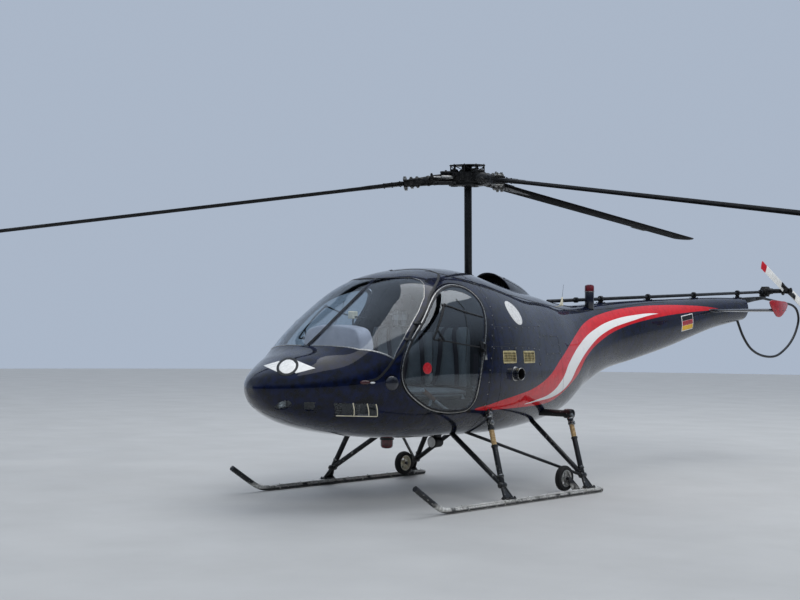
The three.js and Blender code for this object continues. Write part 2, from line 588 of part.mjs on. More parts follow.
const HUB = { low: -96, lowTop: -80, high: 84, highTop: 104, lowRadius: 165, highRadius: 145, barrel: 56 };
add('mast', 'gearBlack', tilt(upright(MAST.foot, HUB.low - SEAM, MAST.radius, MAST.sides)));
add('rotor_hub', 'darkMetal', tilt(join(
  upright(HUB.low, HUB.lowTop, HUB.lowRadius, 24), upright(HUB.lowTop - 1, HUB.high + 1, HUB.barrel),
  upright(HUB.high, HUB.highTop, HUB.highRadius, 24))));

const GRIP = { inner: 62, arm: 235, root: 560, pin: 118 };
for (let number = 1; number <= 3; number += 1) {
  const turn = (shape) => tilt(shape.rotate([0, 0, 90 - BLADE_AZIMUTH - 120 * (number - 1)]));
  const droop = (shape) => turn(shape.rotate([0, BLADE_DROOP, 0]));
  add(`rotor_grip_${number}`, 'darkMetal', join(
    turn(box([GRIP.inner, -38, -36], [GRIP.arm, 38, 36])),
    turn(rod(at(GRIP.pin, 0, HUB.lowTop + SEAM), at(GRIP.pin, 0, HUB.high - SEAM), 24, 12)),
    droop(rod(at(GRIP.arm - 30, 0, 0), at(440, 0, 0), 34, 12)),
    droop(box([400, -58, -20], [GRIP.root - SEAM, 58, 20])),
    turn(box([255, 20, -25], [330, 120, 5])),
    turn(rod(at(130, 78, -20), at(300, 92, -12), 17, 10))));
  const outline = wingSection(BLADE_CHORD, 30).map(([a, b]) => [a - BLADE_CHORD * 0.3, b]);
  add(`rotor_blade_${number}`, 'bladeBlack', droop(plate(outline, 'x', GRIP.root, ROTOR_RADIUS)));
}

// Skids: a bent tube each, with saddles, a wear strip and the wheel's axle arm
const SKID = { radius: 22, z: 22, rear: 590, half: SKID_TRACK / 2 };
const SKID_PATH = [
  [SKID.rear, SKID.z], [-1330, SKID.z], [-1400, 25], [-1460, 36], [-1515, 57], [-1570, 88], [-1775, 216]];
const FEET = { front: -684, rear: 404 };
const SADDLE_TOP = 48;
const WHEEL = { x: 889, y: 195, z: 136, radius: 97, width: 52, bore: 11, rim: 58, sides: 20 };
for (const [name, side] of Object.entries(SIDES)) {
  const x = side * SKID.half;
  const saddles = Object.values(FEET).map((y) => box([x - 30, y - 75, 40], [x + 30, y + 75, SADDLE_TOP]));
  const armIn = side * (WHEEL.x + WHEEL.width / 2 + 8);
  const armOut = armIn + side * 12;
  const arm = plate([
    [WHEEL.y - 24, WHEEL.z - 20], [250, 34], [350, 34], [350, 60],
    [WHEEL.y + 30, WHEEL.z + 24], [WHEEL.y - 24, WHEEL.z + 24],
  ], 'x', Math.min(armIn, armOut), Math.max(armIn, armOut));
  const foot = box([Math.min(armIn, x), 262, 34], [Math.max(armIn, x), 348, 46]);
  const axle = rod(at(armIn, WHEEL.y, WHEEL.z),
    at(side * (WHEEL.x - WHEEL.width / 2 - 12), WHEEL.y, WHEEL.z), WHEEL.bore - 0.8, 12);
  add(`skid_${name}`, 'gearBlack', join(
    bentTube(x, SKID_PATH, SKID.radius),
    box([x - 20, FEET.front - 75, 40], [x + 20, FEET.rear + 75, 46]), ...saddles, arm, foot, axle));

  const hubX = side * WHEEL.x;
  const across = (from, to, radius, sides) => rod(
    at(hubX + from, WHEEL.y, WHEEL.z), at(hubX + to, WHEEL.y, WHEEL.z), radius, sides);
  const edge = WHEEL.width / 2;
  add(`wheel_tyre_${name}`, 'tyre', cut(
    join(across(-edge, edge, WHEEL.radius - 7, WHEEL.sides),
      across(-edge + 8, edge - 8, WHEEL.radius, WHEEL.sides)),
    across(-edge - 5, edge + 5, WHEEL.rim + SEAM, WHEEL.sides)));
  let rim = join(across(-edge + 4, edge - 4, 20, 12), cut(
    across(-edge + 3, edge - 3, WHEEL.rim, WHEEL.sides), across(-edge, edge, WHEEL.rim - 8, WHEEL.sides)));
  for (let spoke = 0; spoke < 5; spoke += 1) {
    const turn = (spoke / 5) * 2 * Math.PI;
    const reach = WHEEL.rim - 4;
    rim = join(rim, rod(at(hubX, WHEEL.y, WHEEL.z), at(
      hubX, WHEEL.y + reach * Math.cos(turn), WHEEL.z + reach * Math.sin(turn)), 9, 4));
  }
  add(`wheel_rim_${name}`, 'rim', cut(rim, across(-edge - 5, edge + 5, WHEEL.bore, 12)));
}

// Landing gear legs: a strut to the belly, an oleo to the side and a foot on the skid
const LEG = {
  joint: { x: 926, z: 150 }, strut: 20, oleo: 21, rodRadius: 18, drag: 13,
};
// Columns: name, y of the foot, strut's upper end, oleo's upper end
const LEGS = [
  ['front', FEET.front, [330, -611, 530], [690, -574, 705]],
  ['rear', FEET.rear, [360, 484, 555], [735, 480, 650]],
];
const aboveSaddles = halfSpace(at(0, 0, SADDLE_TOP + SEAM), at(0, 0, 1));
const crossTubeHole = crossRod(900, CROSS_TUBE.radius + SEAM);
for (const [name, side] of Object.entries(SIDES)) {
  for (const [place, y, strutTop, oleoTop] of LEGS) {
    const mirror = ([px, py, pz]) => at(side * px, py, pz);
    const joint = at(side * LEG.joint.x, y, LEG.joint.z);
    const oleoEnd = mirror(oleoTop);
    const sleeve = joint.clone().lerp(oleoEnd, 0.62);
    const footLeg = (shift) => rod(
      at(side * SKID.half, y + shift, 52), joint.clone().add(at(0, shift * 0.15, 0)), 13, 8);
    let leg = join(
      rod(joint, mirror(strutTop), LEG.strut, 10), rod(joint, sleeve, LEG.oleo, 10),
      rod(joint.clone().lerp(oleoEnd, 0.5), oleoEnd, LEG.rodRadius, 10),
      rod(joint.clone().add(at(0, -32, 0)), joint.clone().add(at(0, 32, 0)), 24, 10),
      footLeg(-44), footLeg(44),
      box([side * SKID.half - 24, y - 66, SADDLE_TOP], [side * SKID.half + 24, y + 66, 60]));
    if (place === 'rear') {
      leg = join(leg, rod(joint, at(side * 362, -475, 520), LEG.drag, 10));
    } else {
      leg = join(leg, box(
        [Math.min(side * 640, side * 712), -600, 655], [Math.max(side * 640, side * 712), -548, 735]));
    }
    add(`${place}_leg_${name}`, 'gearBlack', cut(common(leg, aboveSaddles), wholeHull, crossTubeHole));
  }
}
add('cross_tube', 'gearBlack', crossRod(CROSS_TUBE.reach, CROSS_TUBE.radius));

// Lamps and antenna: each is cut to the hull's surface
add('belly_beacon', 'maroon', cut(rod(at(0, -1000, 392), at(0, -1000, 520), 50, 20), wholeHull));
add('landing_light', 'darkMetal', cut(join(
  rod(at(0, -450, 412), at(0, -340, 412), 50, 20), box([-24, -430, 430], [24, -320, 520])), wholeHull));
add('upper_beacon', 'maroon', cut(rod(at(112, 1700, 1500), at(112, 1700, 1800), 42, 20), wholeHull));
add('antenna_fin', 'white', cut(plate(
  [[1205, 1560], [1300, 1560], [1290, 1668], [1262, 1672]], 'x', 96, 104), wholeHull));

export default helicopter;
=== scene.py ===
"""Dresses a light three-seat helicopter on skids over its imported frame.

All tables are in millimetres from the foot of the rotor mast on the ground, with
the nose towards -Y and the left side towards +X; at() turns them into the frame.
"""
import json
import math

import bmesh
import bpy
import numpy as np
from mathutils import Matrix, Vector

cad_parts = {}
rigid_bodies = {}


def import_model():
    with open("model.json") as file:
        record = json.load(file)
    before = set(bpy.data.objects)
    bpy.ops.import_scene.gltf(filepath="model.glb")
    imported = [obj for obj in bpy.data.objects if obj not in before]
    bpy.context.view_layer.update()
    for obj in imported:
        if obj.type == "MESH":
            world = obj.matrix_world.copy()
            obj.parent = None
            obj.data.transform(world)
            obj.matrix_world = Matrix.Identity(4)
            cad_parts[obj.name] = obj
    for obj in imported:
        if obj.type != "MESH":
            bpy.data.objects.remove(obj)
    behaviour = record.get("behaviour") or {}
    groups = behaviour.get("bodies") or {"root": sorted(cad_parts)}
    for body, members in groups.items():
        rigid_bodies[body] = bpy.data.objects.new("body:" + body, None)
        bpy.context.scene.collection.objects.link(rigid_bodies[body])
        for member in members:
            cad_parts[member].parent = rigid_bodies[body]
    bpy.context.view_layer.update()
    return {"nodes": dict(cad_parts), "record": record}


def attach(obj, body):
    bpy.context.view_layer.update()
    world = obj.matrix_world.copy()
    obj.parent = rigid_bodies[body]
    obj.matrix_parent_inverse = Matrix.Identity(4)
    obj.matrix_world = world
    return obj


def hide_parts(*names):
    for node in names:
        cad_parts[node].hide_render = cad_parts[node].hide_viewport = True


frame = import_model()
NODES = frame["nodes"]

bl_info = {
    "name": "Skid Helicopter Finish",
    "version": (1, 0, 0),
    "blender": (4, 5, 0),
    "location": "View3D > Sidebar > Helicopter",
    "description": "Skins, rotor head, gear, cabin and finishes for a light helicopter",
    "category": "Object",
}

MAST_FOOT = Vector((-0.3, -1.7, 0.0))
LEFT, RIGHT = 1, -1
SIDES = {"left": LEFT, "right": RIGHT}


def at(x, y, z):
    """A point in millimetres from the mast's foot, as metres in the frame."""
    return Vector((x, y, z)) / 1000 + MAST_FOOT


def from_foot(point):
    """A point in the frame's metres, as millimetres from the mast's foot."""
    return (point - MAST_FOOT) * 1000


def mirrored(point, side):
    return (point[0] * side, point[1], point[2])


# The fuselage's shape

# Columns: y, half width, top, widest height, bottom, and the roundness of the
# upper and lower halves (2 is an ellipse, 3 is boxier)
SECTIONS = np.array([
    [-2410, 40, 930, 905, 880, 2.0, 2.0],
    [-2385, 125, 980, 905, 825, 2.1, 2.1],
    [-2300, 250, 1040, 910, 738, 2.2, 2.2],
    [-2100, 425, 1130, 920, 645, 2.4, 2.3],
    [-1900, 550, 1213, 930, 588, 2.7, 2.4],
    [-1650, 665, 1395, 950, 540, 3.0, 2.5],
    [-1400, 735, 1575, 970, 508, 3.0, 2.6],
    [-1150, 770, 1750, 985, 490, 2.7, 2.6],
    [-900, 778, 1830, 1000, 482, 2.4, 2.6],
    [-600, 773, 1858, 1005, 482, 2.3, 2.6],
    [-300, 737, 1848, 1010, 478, 2.2, 2.7],
    [0, 680, 1803, 1012, 480, 2.2, 2.7],
    [400, 588, 1728, 1018, 504, 2.2, 2.6],
    [800, 490, 1672, 1040, 546, 2.2, 2.4],
    [1150, 400, 1622, 1095, 615, 2.1, 2.2],
    [1500, 320, 1600, 1190, 790, 2.1, 2.1],
    [2000, 250, 1634, 1285, 972, 2.1, 2.0],
    [2600, 215, 1672, 1375, 1080, 2.1, 2.0],
    [3200, 185, 1702, 1440, 1192, 2.1, 2.0],
    [4200, 135, 1748, 1575, 1408, 2.1, 2.0],
    [4900, 105, 1765, 1640, 1510, 2.1, 2.0],
])
CABIN_END, BAY_END, BOOM_END = -500, 2000, 4900
NOSE = SECTIONS[0, 0]
NOSE_TIP = 6.0  # how far the shallow dome that closes the nose stands ahead of it


def section(y):
    """Half width, top, widest height, bottom and both roundnesses at any y."""
    stations = SECTIONS[:, 0]
    last = len(stations) - 1
    i = int(np.clip(np.searchsorted(stations, y) - 1, 0, last - 1))
    before, a = SECTIONS[max(i - 1, 0)], SECTIONS[i]
    b, after = SECTIONS[i + 1], SECTIONS[min(i + 2, last)]
    span = b[0] - a[0]
    t = (y - a[0]) / span
    leave = (b - before) / (b[0] - before[0]) * span
    enter = (after - a) / (after[0] - a[0]) * span
    row = ((2 * t**3 - 3 * t**2 + 1) * a + (t**3 - 2 * t**2 + t) * leave
           + (3 * t**2 - 2 * t**3) * b + (t**3 - t**2) * enter)
    return row[1:]


def half_section(y, z):
    """Half width, widest height, and height and roundness of the half that z is in."""
    half, top, middle, bottom, upper, lower = section(y)
    if z > middle:
        return half, middle, top - middle, upper
    return half, middle, middle - bottom, lower


def hull_field(x, y, z):
    """0 on the skin, below 0 inside and above 0 outside."""
    if y < NOSE - 2:
        return 1.0
    half, middle, height, power = half_section(y, z)
    return (abs(x) / half) ** power + (abs(z - middle) / height) ** power - 1


def hull_normal(x, y, z):
    """The way the skin faces at a point on it."""
    if y < NOSE:
        half, top, middle = SECTIONS[0, 1:4]
        return Vector((2 * x / half**2, -1 / NOSE_TIP,
                       2 * (z - middle) / (top - middle) ** 2)).normalized()
    slope = [hull_field(x + dx, y + dy, z + dz) - hull_field(x - dx, y - dy, z - dz)
             for dx, dy, dz in ((1, 0, 0), (0, 1, 0), (0, 0, 1))]
    return Vector(slope).normalized()


def on_hull(x, y, z, lift=0.0):
    """The point of the skin nearest in its section, moved outwards by lift."""
    half, middle, height, power = half_section(y, z)
    share = (abs(x) / half) ** power + (abs(z - middle) / height) ** power
    scale = share ** (-1 / power)
    point = Vector((x * scale, y, middle + (z - middle) * scale))
    return point + hull_normal(*point) * lift if lift else point


def side_x(y, z):
    """Half width of the hull at one y and height."""
    half, middle, height, power = half_section(y, z)
    return half * max(1 - (abs(z - middle) / height) ** power, 0) ** (1 / power)


def hull_ring(y, sides):
    """Evenly spaced points round one section, from the keel up the left side."""
    shrink = 1.0
    if y < NOSE:
        shrink = math.sqrt(max(1 - (NOSE - y) / NOSE_TIP, 0))
    half, top, middle, bottom, upper, lower = section(max(y, NOSE))
    turn = np.linspace(-np.pi / 2, 1.5 * np.pi, 721)
    c, s = np.cos(turn), np.sin(turn)
    power = np.where(s > 0, upper, lower)
    height = np.where(s > 0, top - middle, middle - bottom)
    reach = (np.abs(c / half) ** power + np.abs(s / height) ** power) ** (-1 / power)
    x, z = reach * c * shrink, middle + reach * s * shrink
    length = np.concatenate([[0], np.cumsum(np.hypot(np.diff(x), np.diff(z)))])
    wanted = np.linspace(0, length[-1], sides + 1)
    return np.stack([np.interp(wanted, length, x), np.full(sides + 1, y),
                     np.interp(wanted, length, z)], 1)


def flowing(points, spacing, closed=False):
    """Evenly spaced points on a smooth curve through a few points."""
    points = [np.array(p, float) for p in points]
    count = len(points)
    if not closed:
        points = [2 * points[0] - points[1], *points, 2 * points[-1] - points[-2]]
    fine = []
    for i in range(count if closed else count - 1):
        a, b, c, d = ((points[(i + k) % count] for k in (-1, 0, 1, 2)) if closed
                      else points[i:i + 4])
        ab, bc, cd = (max(np.linalg.norm(q - p) ** 0.5, 1e-6)
                      for p, q in ((a, b), (b, c), (c, d)))
        leave = ((b - a) / ab - (c - a) / (ab + bc) + (c - b) / bc) * bc
        enter = ((c - b) / bc - (d - b) / (bc + cd) + (d - c) / cd) * bc
        for t in np.linspace(0, 1, 24, endpoint=False):
            fine.append((2 * t**3 - 3 * t**2 + 1) * b + (t**3 - 2 * t**2 + t) * leave
                        + (3 * t**2 - 2 * t**3) * c + (t**3 - t**2) * enter)
    fine.append(fine[0] if closed else points[-2])
    fine = np.array(fine)
    length = np.concatenate([[0], np.cumsum(np.linalg.norm(np.diff(fine, axis=0), axis=1))])
    steps = max(round(length[-1] / spacing), 3)
    wanted = np.linspace(0, length[-1], steps + 1)[:steps if closed else None]
    return np.stack([np.interp(wanted, length, fine[:, k])
                     for k in range(fine.shape[1])], 1)


def drawn_in(outline, distance):
    """Moves every edge of a counter-clockwise outline inwards by one distance."""
    outline = np.array(outline, float)
    edge = np.roll(outline, -1, 0) - outline
    edge /= np.linalg.norm(edge, axis=1)[:, None]
    normal = np.stack([-edge[:, 1], edge[:, 0]], 1)
    before = np.roll(normal, 1, 0)
    share = distance / (1 + (normal * before).sum(1))
    return outline + (normal + before) * share[:, None]


def inside(outline, a, b):
    """True where the point (a, b) lies in a closed outline."""
    first, second = outline, np.roll(outline, -1, 0)
    crosses = (first[:, 1] > b) != (second[:, 1] > b)
    rise = np.where(crosses, second[:, 1] - first[:, 1], 1)
    where = first[:, 0] + (b - first[:, 1]) * (second[:, 0] - first[:, 0]) / rise
    return bool(np.count_nonzero(crosses & (where > a)) % 2)


# Side outline of the doors (y, z)
DOOR_OUTLINE = flowing([
    [-783, 1716], [-945, 1690], [-1080, 1636], [-1185, 1566], [-1336, 1424],
    [-1514, 1239], [-1587, 1092], [-1596, 980], [-1545, 875], [-1350, 752],
    [-1182, 710], [-978, 699], [-850, 722], [-798, 800], [-780, 909], [-749, 1052],
    [-700, 1210], [-640, 1355], [-590, 1480], [-580, 1580], [-640, 1680],
], 26, closed=True)
DOOR_GAP, DOOR_FRAME = 6, 24

# Outline of the left windshield pane, as points on the hull, and the way it faces
WINDSHIELD = [
    [9, -1900, 1213], [273, -1873, 1214], [469, -1818, 1191], [655, -1640, 1126],
    [653, -1622, 1166], [649, -1530, 1275], [632, -1428, 1382], [608, -1320, 1480],
    [558, -1200, 1590], [505, -1140, 1652], [456, -1085, 1697], [398, -1060, 1730],
    [330, -1072, 1749], [220, -1125, 1752], [9, -1150, 1750],
]
PANE_FACING = Vector((0.33, -0.55, 0.77)).normalized()
PANE_TURN = PANE_FACING.to_track_quat("Z", "Y")
PANE_FLAT = [PANE_TURN.inverted() @ Vector(p) for p in WINDSHIELD]
PANE_REACH = (-260, 624)  # how far off the pane its cutter starts, and its length


def corners_rounded(corners, cut):
    """A flat outline with a short curve in the place of each corner."""
    points = []
    for before, here, after in zip([corners[-1], *corners], corners,
                                   [*corners[1:], corners[0]]):
        here = Vector(here)
        a = here + (Vector(before) - here).normalized() * cut
        b = here + (Vector(after) - here).normalized() * cut
        points += [tuple(a), tuple((a + here * 2 + b) / 4), tuple(b)]
    return np.array(points)


def ellipse(wide, high, count=48, lean=0.0):
    """Points of a leaning ellipse about (0, 0)."""
    turn, lean = np.linspace(0, 2 * math.pi, count, endpoint=False), math.radians(lean)
    a, b = wide / 2 * np.cos(turn), high / 2 * np.sin(turn)
    return np.stack([a * math.cos(lean) - b * math.sin(lean),
                     a * math.sin(lean) + b * math.cos(lean)], 1)


# The chin windows as (y, z): a small oval, a small pane and the main one
CHIN_MAIN = [(-2048, 807), (-1990, 708), (-1703, 699), (-1760, 796)]
CHIN_PANES = [
    ellipse(60, 74, 28, 30) + (-2297, 789),
    corners_rounded([(-2216, 814), (-2186, 750), (-2133, 748), (-2157, 814)], 9),
    corners_rounded(CHIN_MAIN, 12)]
VENTS, VENT_SIZE = ((-355, 1134), (-10, 1131)), (200, 88)
EXHAUST = (-270, 997)


# Modelling helpers. Each gives a new piece, and fit() names it and dresses it

def only(obj, *others):
    """Selects these objects alone, the first one active."""
    bpy.ops.object.select_all(action="DESELECT")
    for each in (obj, *others):
        each.select_set(True)
    bpy.context.view_layer.objects.active = obj


def settled():
    """Moves the place of the primitive just added into its mesh."""
    obj = bpy.context.object
    only(obj)
    bpy.ops.object.transform_apply(location=True, rotation=True, scale=True)
    return obj


def pick(obj, kind, test):
    """Opens a piece in edit mode with the items that pass the test selected."""
    only(obj)
    bpy.ops.object.mode_set(mode="EDIT")
    bpy.ops.mesh.select_mode(type=kind)
    bpy.ops.mesh.select_all(action="DESELECT")
    mesh = bmesh.from_edit_mesh(obj.data)
    found = 0
    for item in {"VERT": mesh.verts, "EDGE": mesh.edges, "FACE": mesh.faces}[kind]:
        if test(item):
            item.select_set(True)
            found += 1
    mesh.select_flush_mode()
    bmesh.update_edit_mesh(obj.data)
    return found


def leave():
    bpy.ops.object.mode_set(mode="OBJECT")


def everything(item):
    return True


def all_consistent():
    """In edit mode, turns every face of a closed piece outwards."""
    bpy.ops.mesh.select_all(action="SELECT")
    bpy.ops.mesh.normals_make_consistent(inside=False)
    leave()


def tidied(obj, distance=2e-5):
    """Merges doubles and turns the faces outwards."""
    pick(obj, "VERT", everything)
    bpy.ops.mesh.remove_doubles(threshold=distance)
    all_consistent()
    return obj


def applied(obj, kind, **settings):
    """Adds one modifier, applies it and gives the piece back."""
    only(obj)
    modifier = obj.modifiers.new(kind.title(), kind)
    for key, value in settings.items():
        setattr(modifier, key, value)
    bpy.ops.object.modifier_apply(modifier=modifier.name)
    return obj


def smoothed(obj, angle):
    """Smooth shading, with the edges sharper than an angle in degrees left hard."""
    only(obj)
    bpy.ops.object.shade_smooth_by_angle(angle=math.radians(angle))
    return obj


def rounded(obj, width, segments=2, angle=32):
    """Rounds the sharp edges by a width in millimetres and smooths the rest."""
    if width:
        applied(obj, "BEVEL", width=width / 1000, segments=segments, limit_method="ANGLE",
                angle_limit=math.radians(angle), use_clamp_overlap=True)
    return smoothed(obj, angle)


def joined(*pieces):
    only(*pieces)
    if len(pieces) > 1:
        bpy.ops.object.join()
    return bpy.context.object


def moved(obj, matrix):
    obj.data.transform(matrix)
    return obj


def copied(obj, matrix=None):
    """A copy with its own mesh, moved by a matrix in the frame's metres."""
    twin = obj.copy()
    twin.data = obj.data.copy()
    bpy.context.scene.collection.objects.link(twin)
    if matrix is not None:
        moved(twin, matrix)
        if matrix.determinant() < 0:
            twin.data.flip_normals()
    return twin


# Mirrors a finished piece to the other side of the helicopter
ACROSS = (Matrix.Translation(MAST_FOOT) @ Matrix.Scale(-1, 4, (1, 0, 0))
          @ Matrix.Translation(-MAST_FOOT))


def fit(name, piece, finish, *nodes, body="airframe", slot=None):
    """Names a piece, joined from a list where it is one, and gives it its finish, the
    body it rides on and the CAD nodes it replaces. The slot is not used."""
    obj = joined(*piece) if isinstance(piece, list) else piece
    obj.name = obj.data.name = name
    if finish:
        obj.data.materials.clear()
        obj.data.materials.append(PALETTE[finish])
    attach(obj, body)
    if nodes:
        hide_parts(*nodes)


def both(name, piece, finish, body="airframe", slot=None):
    """Fits a left piece and its mirror image; {side} in the body is filled in."""
    left = joined(*piece) if isinstance(piece, list) else piece
    for side, obj in (("left", left), ("right", copied(left, ACROSS))):
        fit(f"{name}_{side}", obj, finish, body=body.format(side=side), slot=slot)


def rod(start, end, radius, end_radius=None, sides=24, bevel=1.0):
    """A straight round bar between two points, tapered where the ends differ."""
    start, end = at(*start), at(*end)
    along = end - start
    bpy.ops.mesh.primitive_cone_add(
        vertices=sides, radius1=radius / 1000, radius2=(end_radius or radius) / 1000,
        depth=along.length, end_fill_type="NGON", location=(start + end) / 2,
        rotation=along.to_track_quat("Z", "Y").to_euler())
    return rounded(settled(), bevel)


def block(low, high, bevel=2.0, segments=2):
    """A box between two corners with its edges rounded."""
    low, high = at(*low), at(*high)
    bpy.ops.mesh.primitive_cube_add(size=1, location=(low + high) / 2, scale=high - low)
    return rounded(settled(), bevel, segments)


def slab(points, along, bevel=1.5, segments=2):
    """A flat outline pushed out along a vector, both in millimetres."""
    bpy.ops.mesh.primitive_circle_add(vertices=len(points), radius=1, fill_type="NGON")
    obj = settled()
    obj.data.vertices.foreach_set("co", [value for p in points for value in at(*p)])
    obj.data.update()
    pick(obj, "FACE", everything)
    bpy.ops.mesh.extrude_region_move(TRANSFORM_OT_translate={"value": Vector(along) / 1000})
    all_consistent()
    return rounded(obj, bevel, segments) if bevel is not None else obj


def turned(profile, foot, axis, steps=32, smooth=40):
    """Spins a closed profile of (radius, height) pairs about an axis at a foot."""
    foot, axis = at(*foot), Vector(axis).normalized()
    turn = axis.to_track_quat("Z", "Y")
    bpy.ops.mesh.primitive_circle_add(vertices=len(profile), radius=1, fill_type="NOTHING")
    obj = settled()
    obj.data.vertices.foreach_set("co", [
        value for radius, height in profile
        for value in foot + turn @ Vector((radius, 0, height)) / 1000])
    pick(obj, "EDGE", everything)
    bpy.ops.mesh.spin(steps=steps, angle=2 * math.pi, center=foot, axis=axis,
                      use_auto_merge=True)
    bpy.ops.mesh.select_all(action="SELECT")
    bpy.ops.mesh.remove_doubles(threshold=1e-5)
    bpy.ops.mesh.dissolve_degenerate(threshold=1e-6)
    all_consistent()
    return smoothed(obj, smooth)


def tube(points, radius, closed=False, sides=10):
    """A round tube through points in millimetres, with closed ends."""
    bpy.ops.curve.primitive_nurbs_path_add()
    obj = bpy.context.object
    curve = obj.data
    curve.splines.clear()
    spline = curve.splines.new("POLY")
    spline.points.add(len(points) - 1)
    for slot, point in zip(spline.points, points):
        slot.co = (*at(*point), 1)
    spline.use_cyclic_u = closed
    spline.use_smooth = True
    curve.dimensions = "3D"
    curve.twist_mode = "MINIMUM"
    curve.bevel_depth = radius / 1000
    curve.bevel_resolution = max(sides // 2 - 1, 1)
    curve.use_fill_caps = not closed
    only(obj)
    obj.location = (0, 0, 0)
    bpy.ops.object.convert(target="MESH")
    return smoothed(tidied(settled(), 1e-6), 50)


def grid(columns, rows, place):
    """A sheet of columns by rows faces with its corners at place(column, row)."""
    bpy.ops.mesh.primitive_grid_add(x_subdivisions=columns, y_subdivisions=rows, size=2)
    obj = settled()
    for vertex in obj.data.vertices:
        column, row = (round((share + 1) / 2 * count) for share, count in
                       zip(vertex.co, (columns, rows)))
        vertex.co = at(*place(column, row))
    return obj


def facing_out(sheet):
    """Merges the doubles of a sheet on the hull and turns its faces outwards."""
    pick(sheet, "VERT", everything)
    bpy.ops.mesh.remove_doubles(threshold=1e-5)
    bpy.ops.mesh.dissolve_degenerate(threshold=1e-6)
    leave()
    face = max(sheet.data.polygons, key=lambda each: each.area)
    if face.normal.dot(hull_normal(*from_foot(face.center))) < 0:
        pick(sheet, "FACE", everything)
        bpy.ops.mesh.flip_normals()
        leave()
    return sheet


def bolts(places, size, sides=6):
    """One bolt head on its washer, copied to each (foot, axis)."""
    first = joined(
        rod((0, 0, 0), (0, 0, size * 0.14), size * 0.66, sides=16, bevel=0),
        rod((0, 0, size * 0.1), (0, 0, size * 0.62), size * 0.5, sides=sides,
            bevel=size * 0.06))
    pieces = [copied(first, Matrix.Translation(at(*foot))
                     @ Vector(axis).to_track_quat("Z", "Y").to_matrix().to_4x4()
                     @ Matrix.Translation(-MAST_FOOT)) for foot, axis in places]
    bpy.data.objects.remove(first)
    return joined(*pieces)


# Materials

def colour(code):
    """Linear colour of an sRGB hex value."""
    parts = [int(code[i:i + 2], 16) / 255 for i in (1, 3, 5)]
    return (*(v / 12.92 if v <= 0.04045 else ((v + 0.055) / 1.055) ** 2.4
              for v in parts), 1.0)


def wire(tree, node, inputs):
    """Links or sets a node's inputs; a hex value becomes a linear colour."""
    for key, value in inputs.items():
        if isinstance(value, bpy.types.NodeSocket):
            tree.links.new(value, node.inputs[key])
        else:
            node.inputs[key].default_value = (
                colour(value) if isinstance(value, str) else value)


def add_node(tree, kind, inputs=None, output=0, **settings):
    """Adds a node with its settings and inputs, and gives one of its outputs."""
    made = tree.nodes.new("ShaderNode" + kind)
    for key, value in settings.items():
        setattr(made, key, value)
    wire(tree, made, inputs or {})
    return made.outputs[output]


# Settings that several nodes share; a colour Mix has its colours at 6 and 7 and its
# result at output 2
RGBA = {"output": 2, "data_type": "RGBA"}
TIMES, MINUS, LARGER = ({"operation": word} for word in ("MULTIPLY", "SUBTRACT", "MAXIMUM"))


def new_finish(name):
    """A fresh material: its tree, its Principled shader and Object coordinates."""
    made = bpy.data.materials.new(name)
    made.use_nodes = True
    tree = made.node_tree
    return made, tree, tree.nodes["Principled BSDF"], add_node(
        tree, "TexCoord", output="Object")


def mottled(tree, place, size, low, high, detail=3.0, ends=(0.35, 0.65)):
    """Soft noise with blobs of a size in millimetres, between two values."""
    noise = add_node(tree, "TexNoise", {
        "Vector": place, "Scale": 1000 / size, "Detail": detail, "Roughness": 0.55},
        output="Fac")
    return add_node(tree, "MapRange", {
        "Value": noise, "From Min": ends[0], "From Max": ends[1],
        "To Min": low, "To Max": high})


def plain_finish(name, pale, dark, rough, size, metal=0.0, bump=0.0, coat=0.0,
                 coat_rough=0.1, ior=1.5):
    """A finish with two close colours, uneven gloss and a fine grain bump mm deep."""
    made, tree, shader, place = new_finish(name)
    share = mottled(tree, place, size, 0, 1)
    wire(tree, shader, {
        "Base Color": add_node(tree, "Mix", {0: share, 6: dark, 7: pale}, **RGBA),
        "Roughness": mottled(tree, place, size * 0.6, *rough),
        "Metallic": metal, "Coat Weight": coat, "Coat Roughness": coat_rough})
    if not metal:
        wire(tree, shader, {"IOR": ior})
    if bump:
        grain = mottled(tree, place, size * 0.2, 0, 1, ends=(0.2, 0.8))
        wire(tree, shader, {"Normal": add_node(tree, "Bump", {
            "Height": grain, "Distance": bump / 1000, "Strength": 1.0})})
    return made


# The band's window of y and z, in millimetres, and its edges as (y, z) pairs
BAND = (-900, 5000, 500, 1800)
RED_TOP = [
    (-900, 560), (-800, 650), (-771, 732), (-600, 760), (-466, 786), (-200, 825), (42, 861),
    (349, 946), (673, 1116), (1095, 1322), (1439, 1449), (1909, 1543), (2383, 1599),
    (2901, 1631), (3461, 1644), (4083, 1629), (4250, 1610), (5000, 1500)]
RED_LOW = [
    (-900, 760), (-780, 728), (-695, 718), (-400, 716), (-42, 719), (250, 722), (505, 739),
    (680, 782), (835, 843), (1088, 964), (1266, 1109), (1655, 1278), (2105, 1398), (2642, 1485),
    (3292, 1554), (4215, 1610), (5000, 1620)]
WHITE_TOP = [
    (-900, 640), (-200, 700), (-64, 737), (180, 768), (427, 804), (686, 920), (862, 1078),
    (1198, 1259), (1531, 1372), (1927, 1464), (2379, 1522), (2804, 1545), (3100, 1520),
    (5000, 1400)]
WHITE_LOW = [
    (-900, 780), (-64, 741), (250, 758), (500, 776), (700, 815), (861, 879), (1069, 1039),
    (1318, 1184), (1766, 1356), (2289, 1462), (2850, 1545), (5000, 1640)]
BAND_EDGE = 2.0


